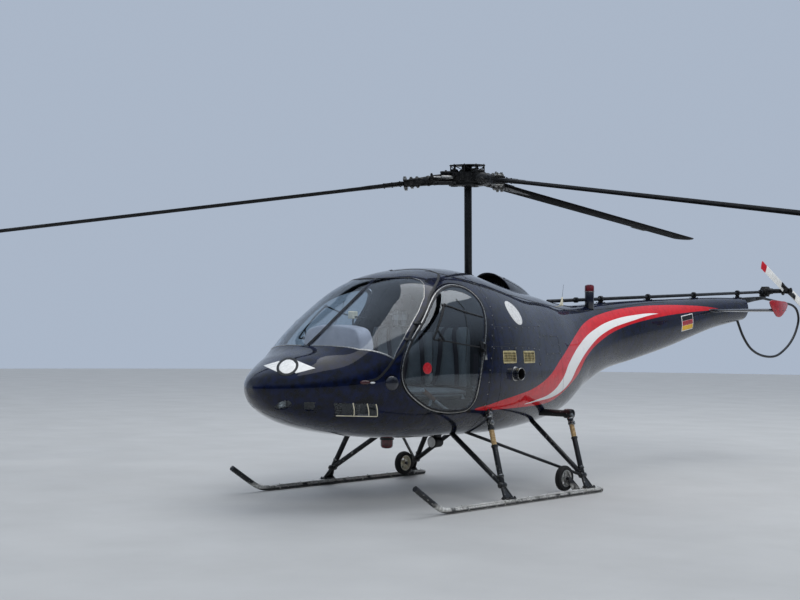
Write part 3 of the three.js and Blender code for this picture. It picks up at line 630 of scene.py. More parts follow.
def below_line(tree, y, z, table):
    """1 below a line through (y, z) pairs and 0 above it, with a soft edge."""
    curve = add_node(tree, "FloatCurve", {"Value": y}).node
    line = curve.mapping.curves[0]
    points = [((py - BAND[0]) / (BAND[1] - BAND[0]), (pz - BAND[2]) / (BAND[3] - BAND[2]))
              for py, pz in table]
    line.points[0].location = points[0]
    line.points[1].location = points[-1]
    for point in points[1:-1]:
        line.points.new(*point)
    curve.mapping.update()
    gap = add_node(tree, "Math", {0: curve.outputs[0], 1: z}, **MINUS)
    edge = BAND_EDGE / (BAND[3] - BAND[2]) / 2
    return add_node(tree, "MapRange", {"Value": gap, "From Min": -edge, "From Max": edge})


def between_lines(tree, place, top, low):
    """1 on the stripe of the hull between two lines of (y, z) pairs."""
    y, z = (add_node(tree, "MapRange", {
        "Value": add_node(tree, "SeparateXYZ", {"Vector": place}, axis),
        "From Min": low_end / 1000 + MAST_FOOT[axis],
        "From Max": high_end / 1000 + MAST_FOOT[axis]}, clamp=False)
        for axis, low_end, high_end in ((1, *BAND[:2]), (2, *BAND[2:])))
    above_low = add_node(tree, "Math", {0: 1.0, 1: below_line(tree, y, z, low)}, **MINUS)
    return add_node(tree, "Math", {0: below_line(tree, y, z, top), 1: above_low}, **TIMES)


def enamel_with_bands(looks):
    """Polyurethane enamel, sprayed and polished: near-black navy under deep clear
    coat, so the skin mirrors its surroundings, with red and white bands below it."""
    made, tree, shader, place = new_finish("polished_enamel_navy_with_bands")
    flake = mottled(tree, place, 60, 0, 1)
    navy = add_node(tree, "Mix", {0: flake, 6: "#05070f", 7: looks.navy}, **RGBA)
    crimson = add_node(tree, "Mix", {0: flake, 6: "#c00c19", 7: looks.red}, **RGBA)
    red = between_lines(tree, place, RED_TOP, RED_LOW)
    painted = add_node(tree, "Mix", {0: red, 6: navy, 7: crimson}, **RGBA)
    white = between_lines(tree, place, WHITE_TOP, WHITE_LOW)
    # Orange peel of the sprayed coat: 9 mm waves, a few microns deep
    peel = mottled(tree, place, 9, 0, 1, ends=(0.2, 0.8))
    wire(tree, shader, {
        "Base Color": add_node(tree, "Mix", {0: white, 6: painted, 7: "#f3f1ee"}, **RGBA),
        "Roughness": mottled(tree, place, 90, 0.25, 0.4), "IOR": 1.5,
        "Specular IOR Level": 0.05, "Coat Weight": 1.0, "Coat IOR": 1.36,
        "Coat Roughness": 0.02,
        "Normal": add_node(tree, "Bump", {
            "Height": peel, "Distance": 0.000015, "Strength": 1.0})})
    return made


def worn_and_edge_lit_coat():
    """Black powder coat over steel: satin black, rubbed to bright metal in small patches.
    Along the edges the bright metal is partly wear, where hands, boots and stones have met it,
    and partly a painted highlight."""
    made, tree, shader, place = new_finish("worn_powder_coat_painted_edge_highlights")
    share = mottled(tree, place, 40, 0, 1)
    patches = mottled(tree, place, 26, 0, 1, detail=6, ends=(0.62, 0.67))
    edge = add_node(tree, "Bevel", {"Radius": 0.004}, samples=4)
    straight = add_node(tree, "NewGeometry", output="Normal")
    dot = add_node(tree, "VectorMath", {0: edge, 1: straight}, "Value",
                   operation="DOT_PRODUCT")
    # Bright metal at the edges, where the bevelled normal turns from the true one: partly edge
    # wear and partly a painted highlight along the edges
    rubbed = add_node(tree, "MapRange", {"Value": dot, "From Min": 0.93, "From Max": 0.80})
    ragged_wear_and_edge_highlight = add_node(tree, "Math", {
        0: rubbed, 1: mottled(tree, place, 14, 0, 1, detail=6, ends=(0.42, 0.55))}, **TIMES)
    bare = add_node(tree, "Math", {0: ragged_wear_and_edge_highlight, 1: patches}, **LARGER)
    coat = add_node(tree, "Mix", {0: share, 6: "#0c0d0f", 7: "#141518"}, **RGBA)
    grain = mottled(tree, place, 4, 0, 1, ends=(0.2, 0.8))
    wire(tree, shader, {
        "Base Color": add_node(tree, "Mix", {0: bare, 6: coat, 7: "#8e8d8a"}, **RGBA),
        "Metallic": bare, "Roughness": mottled(tree, place, 30, 0.28, 0.45),
        "Normal": add_node(tree, "Bump", {
            "Height": grain, "Distance": 0.00005, "Strength": 1.0})})
    return made


def skid_coat():
    """Black coat on the skid tubes, scuffed to bare grey steel along the top where
    boots tread and on the underside where the ground rubs."""
    made, tree, shader, place = new_finish("scuffed_skid_coat")
    height = add_node(tree, "SeparateXYZ", {"Vector": place}, 2)
    # Metres above the ground: the tube's top, its underside and its turned-up end
    top, low, level = (
        add_node(tree, "MapRange", {"Value": height, "From Min": start, "From Max": end})
        for start, end in ((0.018, 0.030), (0.010, 0.004), (0.10, 0.06)))
    trodden = add_node(tree, "Math", {
        0: add_node(tree, "Math", {0: top, 1: level}, **TIMES),
        1: mottled(tree, place, 120, 0, 1, detail=8, ends=(0.38, 0.48))}, **TIMES)
    rubbed = add_node(tree, "Math", {0: trodden, 1: low}, **LARGER)
    specks = mottled(tree, place, 22, 0, 1, detail=8, ends=(0.62, 0.66))
    bare = add_node(tree, "Math", {0: rubbed, 1: specks}, **LARGER)
    steel = add_node(tree, "Mix", {
        0: mottled(tree, place, 18, 0, 1), 6: "#a4a39e", 7: "#dbdad5"}, **RGBA)
    wire(tree, shader, {
        "Base Color": add_node(tree, "Mix", {0: bare, 6: "#151619", 7: steel}, **RGBA),
        "Metallic": add_node(tree, "Math", {0: bare, 1: 0.3}, **TIMES),
        "Roughness": mottled(tree, place, 24, 0.35, 0.55),
        "Normal": add_node(tree, "Bump", {
            "Height": mottled(tree, place, 7, 0, 1), "Distance": 0.00015, "Strength": 1.0})})
    return made


def tail_blade_enamel():
    """Gloss white enamel with a red band over the outer end of each blade."""
    made, tree, shader, place = new_finish("white_enamel_with_red_tips")
    reach = add_node(tree, "VectorMath", {0: place, 1: at(*TAIL_HUB)}, "Value",
                     operation="DISTANCE")
    tip = add_node(tree, "MapRange", {"Value": reach, "From Min": 0.598, "From Max": 0.600})
    clean = add_node(tree, "Mix", {
        0: mottled(tree, place, 70, 0, 1), 6: "#e2e1dc", 7: "#f0efeb"}, **RGBA)
    wire(tree, shader, {
        "Base Color": add_node(tree, "Mix", {0: tip, 6: clean, 7: "#c02330"}, **RGBA),
        "Roughness": mottled(tree, place, 50, 0.2, 0.38)})
    return made


def seat_cloth():
    """Grey woven seat cloth: threads 3 mm apart, drawn about four times too coarse
    so that they show, with a soft sheen at the edges of the pads."""
    made, tree, shader, place = new_finish("woven_grey_seat_cloth")
    warp, weft = (add_node(tree, "TexWave", {
        "Vector": place, "Scale": 1000 / 3 / 6.2832, "Distortion": 0.4}, "Fac",
        bands_direction=way) for way in ("X", "Z"))
    threads = add_node(tree, "Math", {0: warp, 1: weft}, **LARGER)
    shade = add_node(tree, "Mix", {
        0: mottled(tree, place, 90, 0, 1), 6: "#77797c", 7: "#8c8d8e"}, **RGBA)
    share = add_node(tree, "Math", {0: threads, 1: 0.35}, **TIMES)
    wire(tree, shader, {
        "Base Color": add_node(tree, "Mix", {0: share, 6: shade, 7: "#a3a4a4"}, **RGBA),
        "Roughness": mottled(tree, place, 30, 0.8, 0.95),
        "Sheen Weight": 0.3, "Sheen Roughness": 0.4,
        "Normal": add_node(tree, "Bump", {
            "Height": threads, "Distance": 0.0005, "Strength": 1.0})})
    return made


def checked_cloth():
    """Checked cotton: dark and pale squares 22 mm wide with fuzzy thread edges."""
    made, tree, shader, place = new_finish("checked_cotton")
    stripes = []
    for axis in (0, 2):
        across = add_node(tree, "SeparateXYZ", {"Vector": place}, axis)
        wave = add_node(tree, "Math", {0: across, 1: 0.044}, operation="PINGPONG")
        stripes.append(add_node(tree, "MapRange", {
            "Value": wave, "From Min": 0.021, "From Max": 0.023}))
    both_ways = add_node(tree, "Math", dict(enumerate(stripes)), operation="ADD")
    share = add_node(tree, "Math", {0: both_ways, 1: 0.5}, **TIMES)
    wire(tree, shader, {
        "Base Color": add_node(tree, "Mix", {0: share, 6: "#2b2e36", 7: "#e4e4e2"}, **RGBA),
        "Roughness": mottled(tree, place, 10, 0.8, 0.95)})
    return made


def clear_acrylic(name, tint, head_on):
    """Cast acrylic sheet: lets light through with a faint tint, and mirrors a share
    of it head on that grows towards the sheet's edges."""
    made, tree, shader, place = new_finish(name)
    tree.nodes.remove(shader)
    through = add_node(tree, "BsdfTransparent", {"Color": tint})
    mirror = add_node(tree, "BsdfAnisotropic", {
        "Color": "#f4f6f8", "Roughness": mottled(tree, place, 160, 0.0, 0.035)})
    grazing = add_node(tree, "LayerWeight", {"Blend": 0.5}, "Facing")
    steep = add_node(tree, "Math", {0: grazing, 1: 4.5}, operation="POWER")
    share = add_node(tree, "MapRange", {"Value": steep, "To Min": head_on, "To Max": 0.95})
    wire(tree, tree.nodes["Material Output"], {
        "Surface": add_node(tree, "MixShader", {0: share, 1: through, 2: mirror})})
    return made


# The fuselage: its skins, doors and panes

class HELI_OT_fuselage(bpy.types.Operator):
    """Cuts the smooth hull into skins, doors and panes"""
    bl_idname = "heli.fuselage"
    bl_label = "Fuselage, doors and panes"

    def execute(self, context):
        fill_palette(context.scene.heli_looks)
        cabin = hull_sheet(cabin_stations())
        cut_openings(cabin)
        parts = split_cabin(cabin)
        skin = {"slot": "navy_paint"}
        fit("cabin_skin", thick(cabin, 20, "paint", "lining"), None, "cabin_shell", **skin)
        for (kind, side), piece in parts.items():
            body = "airframe" if kind in ("windshield", "chin") else f"{side}_door"
            name = f"{kind}_{side}"
            if kind == "ring":
                fit(name, thick(piece, 20, "paint", "lining"), None, f"door_{side}",
                    body=body, **skin)
                continue
            node = f"chin_window_{side}" if kind == "chin" else name
            glass = "smoked" if kind == "door_glass" else "glass"
            fit(name, thick(piece, 4, glass, sink=1.5), None, node, body=body,
                slot="canopy_glass")
        for name, start, end, spacing, wall, node in (
                ("bay_skin", CABIN_END + 1.5, BAY_END - 1, 40, 12, "engine_bay"),
                ("boom_skin", BAY_END + 1, BOOM_END, 60, 8, "tail_boom")):
            sheet = hull_sheet(np.linspace(start, end, round((end - start) / spacing) + 1))
            if name == "bay_skin":
                vent_bay(sheet)
            fit(name, thick(sheet, wall, "paint", "lining"), None, node, **skin)
        return {"FINISHED"}


def cabin_stations():
    tip = [NOSE - NOSE_TIP * (1 - share**2) for share in np.linspace(0, 1, 6)]
    front = np.linspace(NOSE, -2150, 14)[1:]
    rest = np.linspace(-2150, CABIN_END - 1.5, 56)[1:]
    return np.concatenate([tip, front, rest])


def hull_sheet(stations, sides=112):
    """One open sheet through the hull's sections at the given stations."""
    rings = [hull_ring(y, sides) for y in stations]
    return facing_out(grid(sides, len(stations) - 1,
                           lambda column, row: rings[row][column]))


def cut_along(sheet, outline, along):
    """Cuts a sheet's faces along an outline pushed out along a vector."""
    cutter = slab(outline, along, bevel=None)
    for obj, index in ((sheet, 0), (cutter, 1)):
        obj.data.materials.clear()
        for name in ("sheet_side", "cutter_side"):
            obj.data.materials.append(
                bpy.data.materials.get(name) or bpy.data.materials.new(name))
        obj.data.polygons.foreach_set("material_index", [index] * len(obj.data.polygons))
    joined(sheet, cutter)
    pick(sheet, "FACE", lambda face: face.material_index == 1)
    bpy.ops.mesh.intersect(mode="SELECT_UNSELECT", separate_mode="CUT", solver="EXACT")
    leave()
    pick(sheet, "FACE", lambda face: face.material_index == 1)
    bpy.ops.mesh.delete(type="FACE")
    bpy.ops.mesh.select_all(action="SELECT")
    bpy.ops.mesh.remove_doubles(threshold=1e-5)
    leave()


# Where the cutters of the doors and the chin windows start beside the middle, and how
# far they reach; the highest point of a chin window; how near its plane a pane lies
DOOR_FROM, CHIN_FROM, OUTWARD, CHIN_TOP, PANE_DEPTH = 150, 100, 850, 830, 600
# The same for the holes in the bay, and how much smaller than its frame a grille's is
GRILLE_CUT, EXHAUST_CUT, INTAKE_CUT, GRILLE_RIM = (400, 500), (500, 400), (1500, 400), 6
EXHAUST_WIDE, ROOF_FROM = 108, 1400
INTAKE = ((-135, 340), (135, 340), (110, 560), (-110, 560))


def cut_openings(cabin):
    """Cuts the outlines of the doors, the windshield panes and the chin windows."""
    low, high = (PANE_TURN @ Vector((0, 0, reach)) for reach in PANE_REACH)
    for side in (LEFT, RIGHT):
        for inset in (0, DOOR_GAP, DOOR_GAP + DOOR_FRAME):
            outline = [(side * DOOR_FROM, y, z) for y, z in drawn_in(DOOR_OUTLINE, inset)]
            cut_along(cabin, outline, (side * OUTWARD, 0, 0))
        pane = [PANE_TURN @ Vector((p.x, p.y, PANE_FLAT[0].z)) for p in PANE_FLAT]
        cut_along(cabin, [mirrored(p + low, side) for p in pane], mirrored(high, side))
        for pane in CHIN_PANES:
            outline = [(side * CHIN_FROM, y, z) for y, z in pane]
            cut_along(cabin, outline, (side * OUTWARD, 0, 0))


def vent_bay(bay):
    """Opens the skin for the side grilles, the air intake and the exhaust."""
    holes = []
    wide, high = (size / 2 - GRILLE_RIM for size in VENT_SIZE)
    start, length = GRILLE_CUT
    for side in (LEFT, RIGHT):
        for y, z in VENTS:
            holes.append(([(side * start, y + a * wide, z + b * high) for a, b in
                           ((-1, -1), (1, -1), (1, 1), (-1, 1))], (side * length, 0, 0)))
    start, length = EXHAUST_CUT
    ring = ellipse(EXHAUST_WIDE, EXHAUST_WIDE, 32) + EXHAUST
    holes.append(([(start, *spot) for spot in ring], (length, 0, 0)))
    start, length = INTAKE_CUT
    holes.append(([(*spot, start) for spot in INTAKE], (0, 0, length)))
    for outline, along in holes:
        cut_along(bay, outline, along)
    for outline, along in holes:
        axes = (1, 2) if along[0] else (0, 1)
        shape = np.array(outline)[:, axes]

        def in_hole(face):
            centre = from_foot(face.calc_center_median())
            way = centre.x * along[0] > 0 if along[0] else centre.z > ROOF_FROM
            return way and inside(shape, centre[axes[0]], centre[axes[1]])
        pick(bay, "FACE", in_hole)
        bpy.ops.mesh.delete(type="FACE")
        leave()


DOOR_RING = drawn_in(DOOR_OUTLINE, DOOR_GAP)
DOOR_INNER = drawn_in(DOOR_OUTLINE, DOOR_GAP + DOOR_FRAME)
PANE_EDGE = np.array([(p.x, p.y) for p in PANE_FLAT])


def region(centre):
    """Which piece of the cabin a face belongs to, from its centre in the frame."""
    x, y, z = from_foot(centre)
    side = "left" if x > 0 else "right"
    if abs(x) > DOOR_FROM and inside(DOOR_OUTLINE, y, z):
        if inside(DOOR_INNER, y, z):
            return "door_glass", side
        return ("ring", side) if inside(DOOR_RING, y, z) else ("gap", side)
    flat = PANE_TURN.inverted() @ Vector((abs(x), y, z))
    if abs(flat.z - PANE_FLAT[0].z) < PANE_DEPTH and inside(PANE_EDGE, flat.x, flat.y):
        return "windshield", side
    if abs(x) > CHIN_FROM and z < CHIN_TOP and any(
            inside(pane, y, z) for pane in CHIN_PANES):
        return "chin", side
    return None, side


def split_cabin(cabin):
    """Parts the cut sheet into its pieces and keeps the skin in the first one."""
    wanted = [(kind, side) for kind in ("ring", "door_glass", "windshield", "chin")
              for side in SIDES]
    # Faces of the skin have index 0, those of the door gaps 1 and the pieces the rest
    found = [region(polygon.center) for polygon in cabin.data.polygons]
    codes = [1 if each[0] == "gap" else wanted.index(each) + 2 if each in wanted else 0
             for each in found]
    for number in range(len(wanted) + 2):
        cabin.data.materials.append(bpy.data.materials.new(f"part_{number}"))
    cabin.data.polygons.foreach_set("material_index", codes)
    pick(cabin, "FACE", lambda face: face.material_index == 1)
    bpy.ops.mesh.delete(type="FACE")
    leave()
    parts = {}
    for number, (kind, side) in enumerate(wanted, 2):
        before = set(bpy.data.objects)
        if not pick(cabin, "FACE", lambda face: face.material_index == number):
            raise RuntimeError(f"no faces for {kind} {side}")
        bpy.ops.mesh.separate(type="SELECTED")
        leave()
        parts[kind, side] = (set(bpy.data.objects) - before).pop()
    for piece in (cabin, *parts.values()):
        pick(piece, "VERT", lambda vertex: not vertex.link_faces)
        bpy.ops.mesh.delete(type="VERT")
        leave()
    return parts


def thick(sheet, wall, finish, lining=None, sink=0.0):
    """Gives a sheet its wall, its finishes and the exact normals of the hull."""
    mesh = sheet.data
    if sink:
        normals = [hull_normal(*from_foot(v.co)) for v in mesh.vertices]
        for vertex, normal in zip(mesh.vertices, normals):
            vertex.co -= normal * sink / 1000
    mesh.materials.clear()
    for key in (finish, lining or finish):
        mesh.materials.append(PALETTE[key])
    mesh.polygons.foreach_set("material_index", [0] * len(mesh.polygons))
    applied(sheet, "SOLIDIFY", thickness=wall / 1000, offset=-1, use_even_offset=True,
            use_quality_normals=True, material_offset=1 if lining else 0)
    bpy.ops.object.shade_smooth()
    mesh = sheet.data
    exact = [hull_normal(*from_foot(v.co)) for v in mesh.vertices]
    normals = [None] * len(mesh.loops)
    for polygon in mesh.polygons:
        for loop in polygon.loop_indices:
            normal = exact[mesh.loops[loop].vertex_index]
            facing = normal.dot(polygon.normal)
            normals[loop] = polygon.normal if abs(facing) < 0.75 else (
                normal if facing > 0 else -normal)
    mesh.normals_split_custom_set(normals)
    return sheet


# The main rotor

HUB_HEIGHT = 2678
MAST_AXIS = Vector((math.tan(math.radians(1.86)), -math.tan(math.radians(3.3)), 1)).normalized()
MAST_TURN = Vector((0, 0, 1)).rotation_difference(MAST_AXIS).to_matrix().to_4x4()
BLADE_AZIMUTH, BLADE_DROOP = 232.7, 6.07
ROTOR_RADIUS, BLADE_CHORD, BLADE_ROOT = 4877, 240, 560
BLADE_THICKNESS, PLATE_THICKNESS = 30, 4
BACK_AND_FORTH = (1, -1)


def hub_place(number=None, droop=0.0):
    """Where a piece made about the mast's foot, with its arm along +X, goes."""
    azimuth = 90 if number is None else BLADE_AZIMUTH + 120 * (number - 1)
    return (Matrix.Translation(at(0, 0, HUB_HEIGHT)) @ MAST_TURN
            @ Matrix.Rotation(math.radians(90 - azimuth), 4, "Z")
            @ Matrix.Rotation(math.radians(droop), 4, "Y")
            @ Matrix.Translation(-MAST_FOOT))


def ring_of(radius, count, start=0.0):
    """Evenly spaced points on a circle about (0, 0), from an angle in degrees."""
    first = math.radians(start)
    return [(radius * math.cos(a), radius * math.sin(a))
            for a in np.linspace(first, first + 2 * math.pi, count, endpoint=False)]


def lobed(radius, waist, height):
    """A three-lobed outline whose lobes point along the rotor's arms."""
    points = []
    for turn in np.linspace(0, 2 * math.pi, 72, endpoint=False):
        reach = radius * (1 - waist * (0.5 - 0.5 * math.cos(3 * turn)))
        points.append((reach * math.cos(turn), reach * math.sin(turn), height))
    return points


def wing_outline(chord, thickness, steps=14):
    """Upper then lower points (along the chord, up) of a symmetrical section."""
    share = (1 - np.cos(np.linspace(0, math.pi, steps))) / 2
    half = 5 * thickness * (0.2969 * np.sqrt(share) - 0.126 * share - 0.3516 * share**2
                            + 0.2843 * share**3 - 0.1005 * share**4)
    upper = list(zip(share * chord, half))
    return upper + [(a, -b) for a, b in upper[-2:0:-1]]


class HELI_OT_main_rotor(bpy.types.Operator):
    """Adds the mast, the rotor head and its three blades"""
    bl_idname = "heli.main_rotor"
    bl_label = "Main rotor"

    def execute(self, context):
        rotor = {"body": "main_rotor"}
        mast = rod((0, 0, -1010), (0, 0, -70), 33, sides=40)
        fit("mast_tube", moved(mast, hub_place()), "gear", "mast", **rotor)
        fit("rotor_head", moved(rotor_head(), hub_place(1)), "metal", "rotor_hub", **rotor)
        models = (rotor_fork(), rotor_barrel(), lag_damper(), bolt_caps(), main_blade(),
                  blade_plates())
        for n in (1, 2, 3):
            flat, low = hub_place(n), hub_place(n, BLADE_DROOP)
            fork, barrel, damper, caps, blade, plates = (
                copied(model, place) for model, place in
                zip(models, (flat, low, flat, low, low, low)))
            fit(f"grip_{n}", [fork, barrel], "metal", f"rotor_grip_{n}", **rotor)
            fit(f"damper_{n}", [damper, caps], "bright", **rotor)
            fit(f"blade_{n}", blade, "blade", f"rotor_blade_{n}", **rotor)
            fit(f"blade_plates_{n}", plates, "blade_plate", **rotor)
        for model in models:
            bpy.data.objects.remove(model)
        return {"FINISHED"}


def rotor_head():
    """The hub about the mast's foot: three lobed plates, pins, stays and bolts."""
    up = (0, 0, 1)
    parts = [
        slab(lobed(166, 0.22, -84), (0, 0, 14), 3),
        slab(lobed(152, 0.34, -68), (0, 0, 104), 9, 3),
        slab(lobed(160, 0.06, 88), (0, 0, 8), 2.5),
        turned([(0, -90), (52, -90), (56, -84), (56, -66), (40, -60), (36, 30), (36, 80),
                (48, 90), (48, 99), (30, 104), (0, 104)], (0, 0, 0), up, steps=40)]
    for x, y in ring_of(118, 3):
        parts.append(turned([(12, -90), (30, -90), (34, -80), (34, -66), (30, 40), (34, 46),
                             (34, 56), (24, 62), (12, 62)], (x, y, 0), up, 28))
    for x, y in ring_of(1, 3, 60):
        parts.append(rod((78 * x, 78 * y, 30), (78 * x, 78 * y, 90), 15, 11, sides=20))
        parts.append(block((84 * x - 26, 84 * y - 26, -40), (84 * x + 26, 84 * y + 26, 52), 7))
    rim = ring_of(148, 9)
    for x, y in rim:
        parts.append(rod((x, y, 36), (x, y, 90), 5.5, sides=14))
    parts.append(bolts([((x, y, 96), up) for x, y in rim], 9))
    # Stays that slope from the top plate's edge down to the body
    for (x, y), (nx, ny) in zip(rim, rim[1:] + rim[:1]):
        parts.append(rod((x, y, 86), (nx * 0.82, ny * 0.82, 38), 3.5, sides=10))
    parts.append(bolts([((x, y, 97), up) for x, y in ring_of(40, 8)], 7))
    return joined(*parts)


def rotor_fork():
    """The level part of one arm: a fork, its horn and the rods beside it."""
    upright = (0, 0, 1)
    outline = [(66, -36), (150, -46), (222, -46), (238, -32), (238, 32), (222, 46), (150, 46),
               (66, 36)]
    return joined(
        *(slab([(x, y, z) for x, y in outline], (0, 0, 20), 5, 3) for z in (24, -44)),
        block((150, -38, -30), (236, 38, 30), 9, 3),
        block((122, 60, -78), (262, 108, -46), 9, 3),
        rod((96, 84, -62), (300, 84, -62), 15, sides=24, bevel=4),
        slab([(x, y, -18) for x, y in (
            (236, 16), (318, 16), (334, 40), (330, 96), (316, 118), (298, 118), (286, 92),
            (280, 60))], (0, 0, 16), 3),
        rod((308, 104, -34), (308, 104, 14), 11, sides=20),
        rod((120, 92, -16), (120, 92, 18), 10, sides=16),
        slab([(x, y, -8) for x, y in ((92, 26), (128, 30), (132, 100), (108, 100))],
             (0, 0, 12), 3),
        bolts([((190, y, way * 43), (0, 0, way)) for y in (-24, 24) for way in BACK_AND_FORTH]
              + [((308, 104, 14), upright)], 17))


def rotor_barrel():
    """The drooping part of one arm: a barrel and the two plates that hold the blade."""
    profile = [
        (0, 205), (34, 205), (44, 214), (46, 226), (46, 300), (42, 306), (42, 330), (46, 336),
        (46, 352), (41, 360), (38, 420), (44, 428), (44, 452), (34, 460), (0, 460)]
    plate = [(396, -34), (430, -44), (500, -56), (551, -58), (559, -50), (559, 50), (551, 58),
             (500, 56), (430, 44), (396, 34)]
    return joined(
        turned(profile, (0, 0, 0), (1, 0, 0), 36),
        *(slab([(x, y, z) for x, y in plate], (0, 0, 14), 4, 3) for z in (16, -30)),
        block((410, -44, -36), (512, 44, 36), 10, 3),
        block((470, -50, -17), (558, 50, 17), 3),
        rod((345, -34, 0), (345, -66, 0), 12, sides=16),
        rod((345, -58, 0), (408, -58, 0), 6, sides=12))


def bolt_caps():
    """Bare heads of the blade bolts and the clamp that stands on the root."""
    def heads(places, height, size):
        return bolts([((x, y, way * height), (0, 0, way)) for x, y in places
                      for way in BACK_AND_FORTH], size)
    return joined(
        block((528, -40, 27), (560, 40, 46), 5, 3), block((528, -40, -46), (560, 40, -27), 5, 3),
        heads([(440, 0), (490, -26), (490, 26)], 36, 24), heads([(544, -22), (544, 22)], 45, 26))


def lag_damper():
    return joined(
        rod((126, 80, -14), (224, 88, -12), 17, sides=24, bevel=3),
        rod((220, 87, -12), (300, 95, -10), 7, sides=16),
        turned([(5, -8), (13, -8), (15, 0), (13, 8), (5, 8)], (304, 96, -10), (0, 0, 1), 20))


def main_blade():
    """One blade along +X, level."""
    outline = [(BLADE_ROOT, a - 0.3 * BLADE_CHORD, b)
               for a, b in wing_outline(BLADE_CHORD, BLADE_THICKNESS)]
    return slab(outline, (ROTOR_RADIUS - BLADE_ROOT - 2, 0, 0), 1.2)


def blade_plates():
    """The plates bonded to a blade's root, its tip cap and the tab behind it."""
    plates = []
    for reach, width, height in ((1120, 34, 15.0), (960, 62, 15.8), (800, 88, 16.6)):
        flat = [(BLADE_ROOT + 2, -width * 0.62), (reach - 90, -width * 0.62), (reach, 6),
                (reach - 90, width), (BLADE_ROOT + 2, width)]
        for way in BACK_AND_FORTH:
            plates.append(slab([(x, y, way * (height - PLATE_THICKNESS)) for x, y in flat],
                               (0, 0, way * PLATE_THICKNESS), 0.6))
    tab = [(3720, 160, -1.5), (4060, 160, -1.5), (4060, 196, -1.5), (3720, 196, -1.5)]
    plates.append(slab(tab, (0, 0, 3), 0.5))
    tip = [(ROTOR_RADIUS - 60, a * 1.004 - 0.5 - 0.3 * BLADE_CHORD, b * 1.06)
           for a, b in wing_outline(BLADE_CHORD, BLADE_THICKNESS)]
    plates.append(slab(tip, (58, 0, 0), 1.5))
    places = [(590, -18), (590, 46), (660, 12), (730, 12)]
    plates.append(bolts([((x, y, way * 16), (0, 0, way)) for x, y in places
                         for way in BACK_AND_FORTH], 13))
    return joined(*plates)


# The landing gear

SKID_X, SKID_Z, SKID_RADIUS = 989, 22, 22
FEET = {"front": -684, "rear": 404}
STRUT_TOP = {"front": (330, -611, 530), "rear": (360, 484, 555)}
OLEO_TOP = {"front": (690, -574, 705), "rear": (735, 480, 650)}
# Where a leg's sleeve ends and its cap starts, as shares of the way up its oleo
OLEO_BARE = {"front": (0.52, 0.74), "rear": (0.60, 0.82)}
KNEE_X, KNEE_Z = 926, 150
CROSS_Y, CROSS_Z, CROSS_RADIUS, CROSS_REACH = 480, 648, 29, 765
WHEEL = (889, 195, 136)
WHEEL_HOLES, HOLE_RADIUS, HOLE_CIRCLE = 5, 16.5, 82


def between(a, b, share):
    return tuple(p + (q - p) * share for p, q in zip(a, b))


class HELI_OT_landing_gear(bpy.types.Operator):
    """Adds the skids, the legs with their oleos, and the cross tube"""
    bl_idname = "heli.landing_gear"
    bl_label = "Landing gear"

    def execute(self, context):
        for side, way in SIDES.items():
            fit(f"skid_tube_{side}", skid_tube(way * SKID_X, way), "skid", f"skid_{side}")
            fit(f"skid_tread_{side}", skid_tread(way * SKID_X), "tread")
            for place in FEET:
                leg(place, side, way)
        collars = [turned([(30, 0), (34, 0), (34, 34), (30, 34)], (way * 700, CROSS_Y, CROSS_Z),
                          (way, 0, 0), 28) for way in SIDES.values()]
        beam = rod((-CROSS_REACH, CROSS_Y, CROSS_Z), (CROSS_REACH, CROSS_Y, CROSS_Z),
                   CROSS_RADIUS, sides=32, bevel=4)
        fit("cross_beam", [beam, *collars], "gear_worn_edge_lit", "cross_tube")
        return {"FINISHED"}


def skid_tread(x):
    """The ribbed plate on a skid, held by bolts."""
    plate = block((x - 20, -1290, 39), (x + 20, 560, 46.5), 2.5)
    return [plate, bolts([((x, y, 46.5), (0, 0, 1)) for y in
                          (-1250, -1010, -860, -430, -180, 80, 540)], 9)]


def skid_tube(x, way):
    """A skid with its clamps, its worn shoe and the arm and axle of its wheel."""
    path = flowing([(x, 588, 22), (x, 200, 22), (x, -700, 22), (x, -1300, 22), (x, -1400, 25),
                    (x, -1460, 36), (x, -1515, 57), (x, -1570, 88), (x, -1668, 149),
                    (x, -1772, 214)], 30)
    parts = [tube(path, SKID_RADIUS, sides=20),
             turned([(0, 0), (21, 0), (22, 6), (18, 12), (0, 12)], (x, 582, SKID_Z), (0, 1, 0),
                    24)]
    for y in FEET.values():
        parts.append(block((x - 30, y - 76, 30), (x + 30, y + 76, 47.5), 4))
        parts.append(bolts([((x + dx, y + dy, 47), (0, 0, 1))
                            for dx in (-22, 22) for dy in (-68, 68)], 10))
    # The steel shoe under the tube, worn flat by the ground
    parts.append(tube([(x, y, 13) for y in np.linspace(-1240, 520, 12)], 13, sides=12))
    wheel_x, wheel_y, wheel_z = WHEEL
    inner, edge = way * (wheel_x + 34), way * (wheel_x + 46)
    arm = [(wheel_y - 4, 120), (258, 36), (348, 36), (350, 56), (wheel_y + 27, 150),
           (wheel_y + 12, 158), (wheel_y - 8, 152)]

    def axle(start, end, radius, **look):
        return rod((start, wheel_y, wheel_z), (end, wheel_y, wheel_z), radius, **look)
    return parts + [
        slab([(inner, a, b) for a, b in arm], (edge - inner, 0, 0), 3),
        block((min(inner, x), 264, 34), (max(inner, x), 346, 45), 3),
        axle(inner, way * 851, 10, sides=20), axle(way * 853, way * 848, 17, sides=6),
        axle(way * 936, way * 946, 18, sides=6, bevel=1.5),
        bolts([((x - way * 12, y, 45), (0, 0, 1)) for y in (284, 326)], 18)]


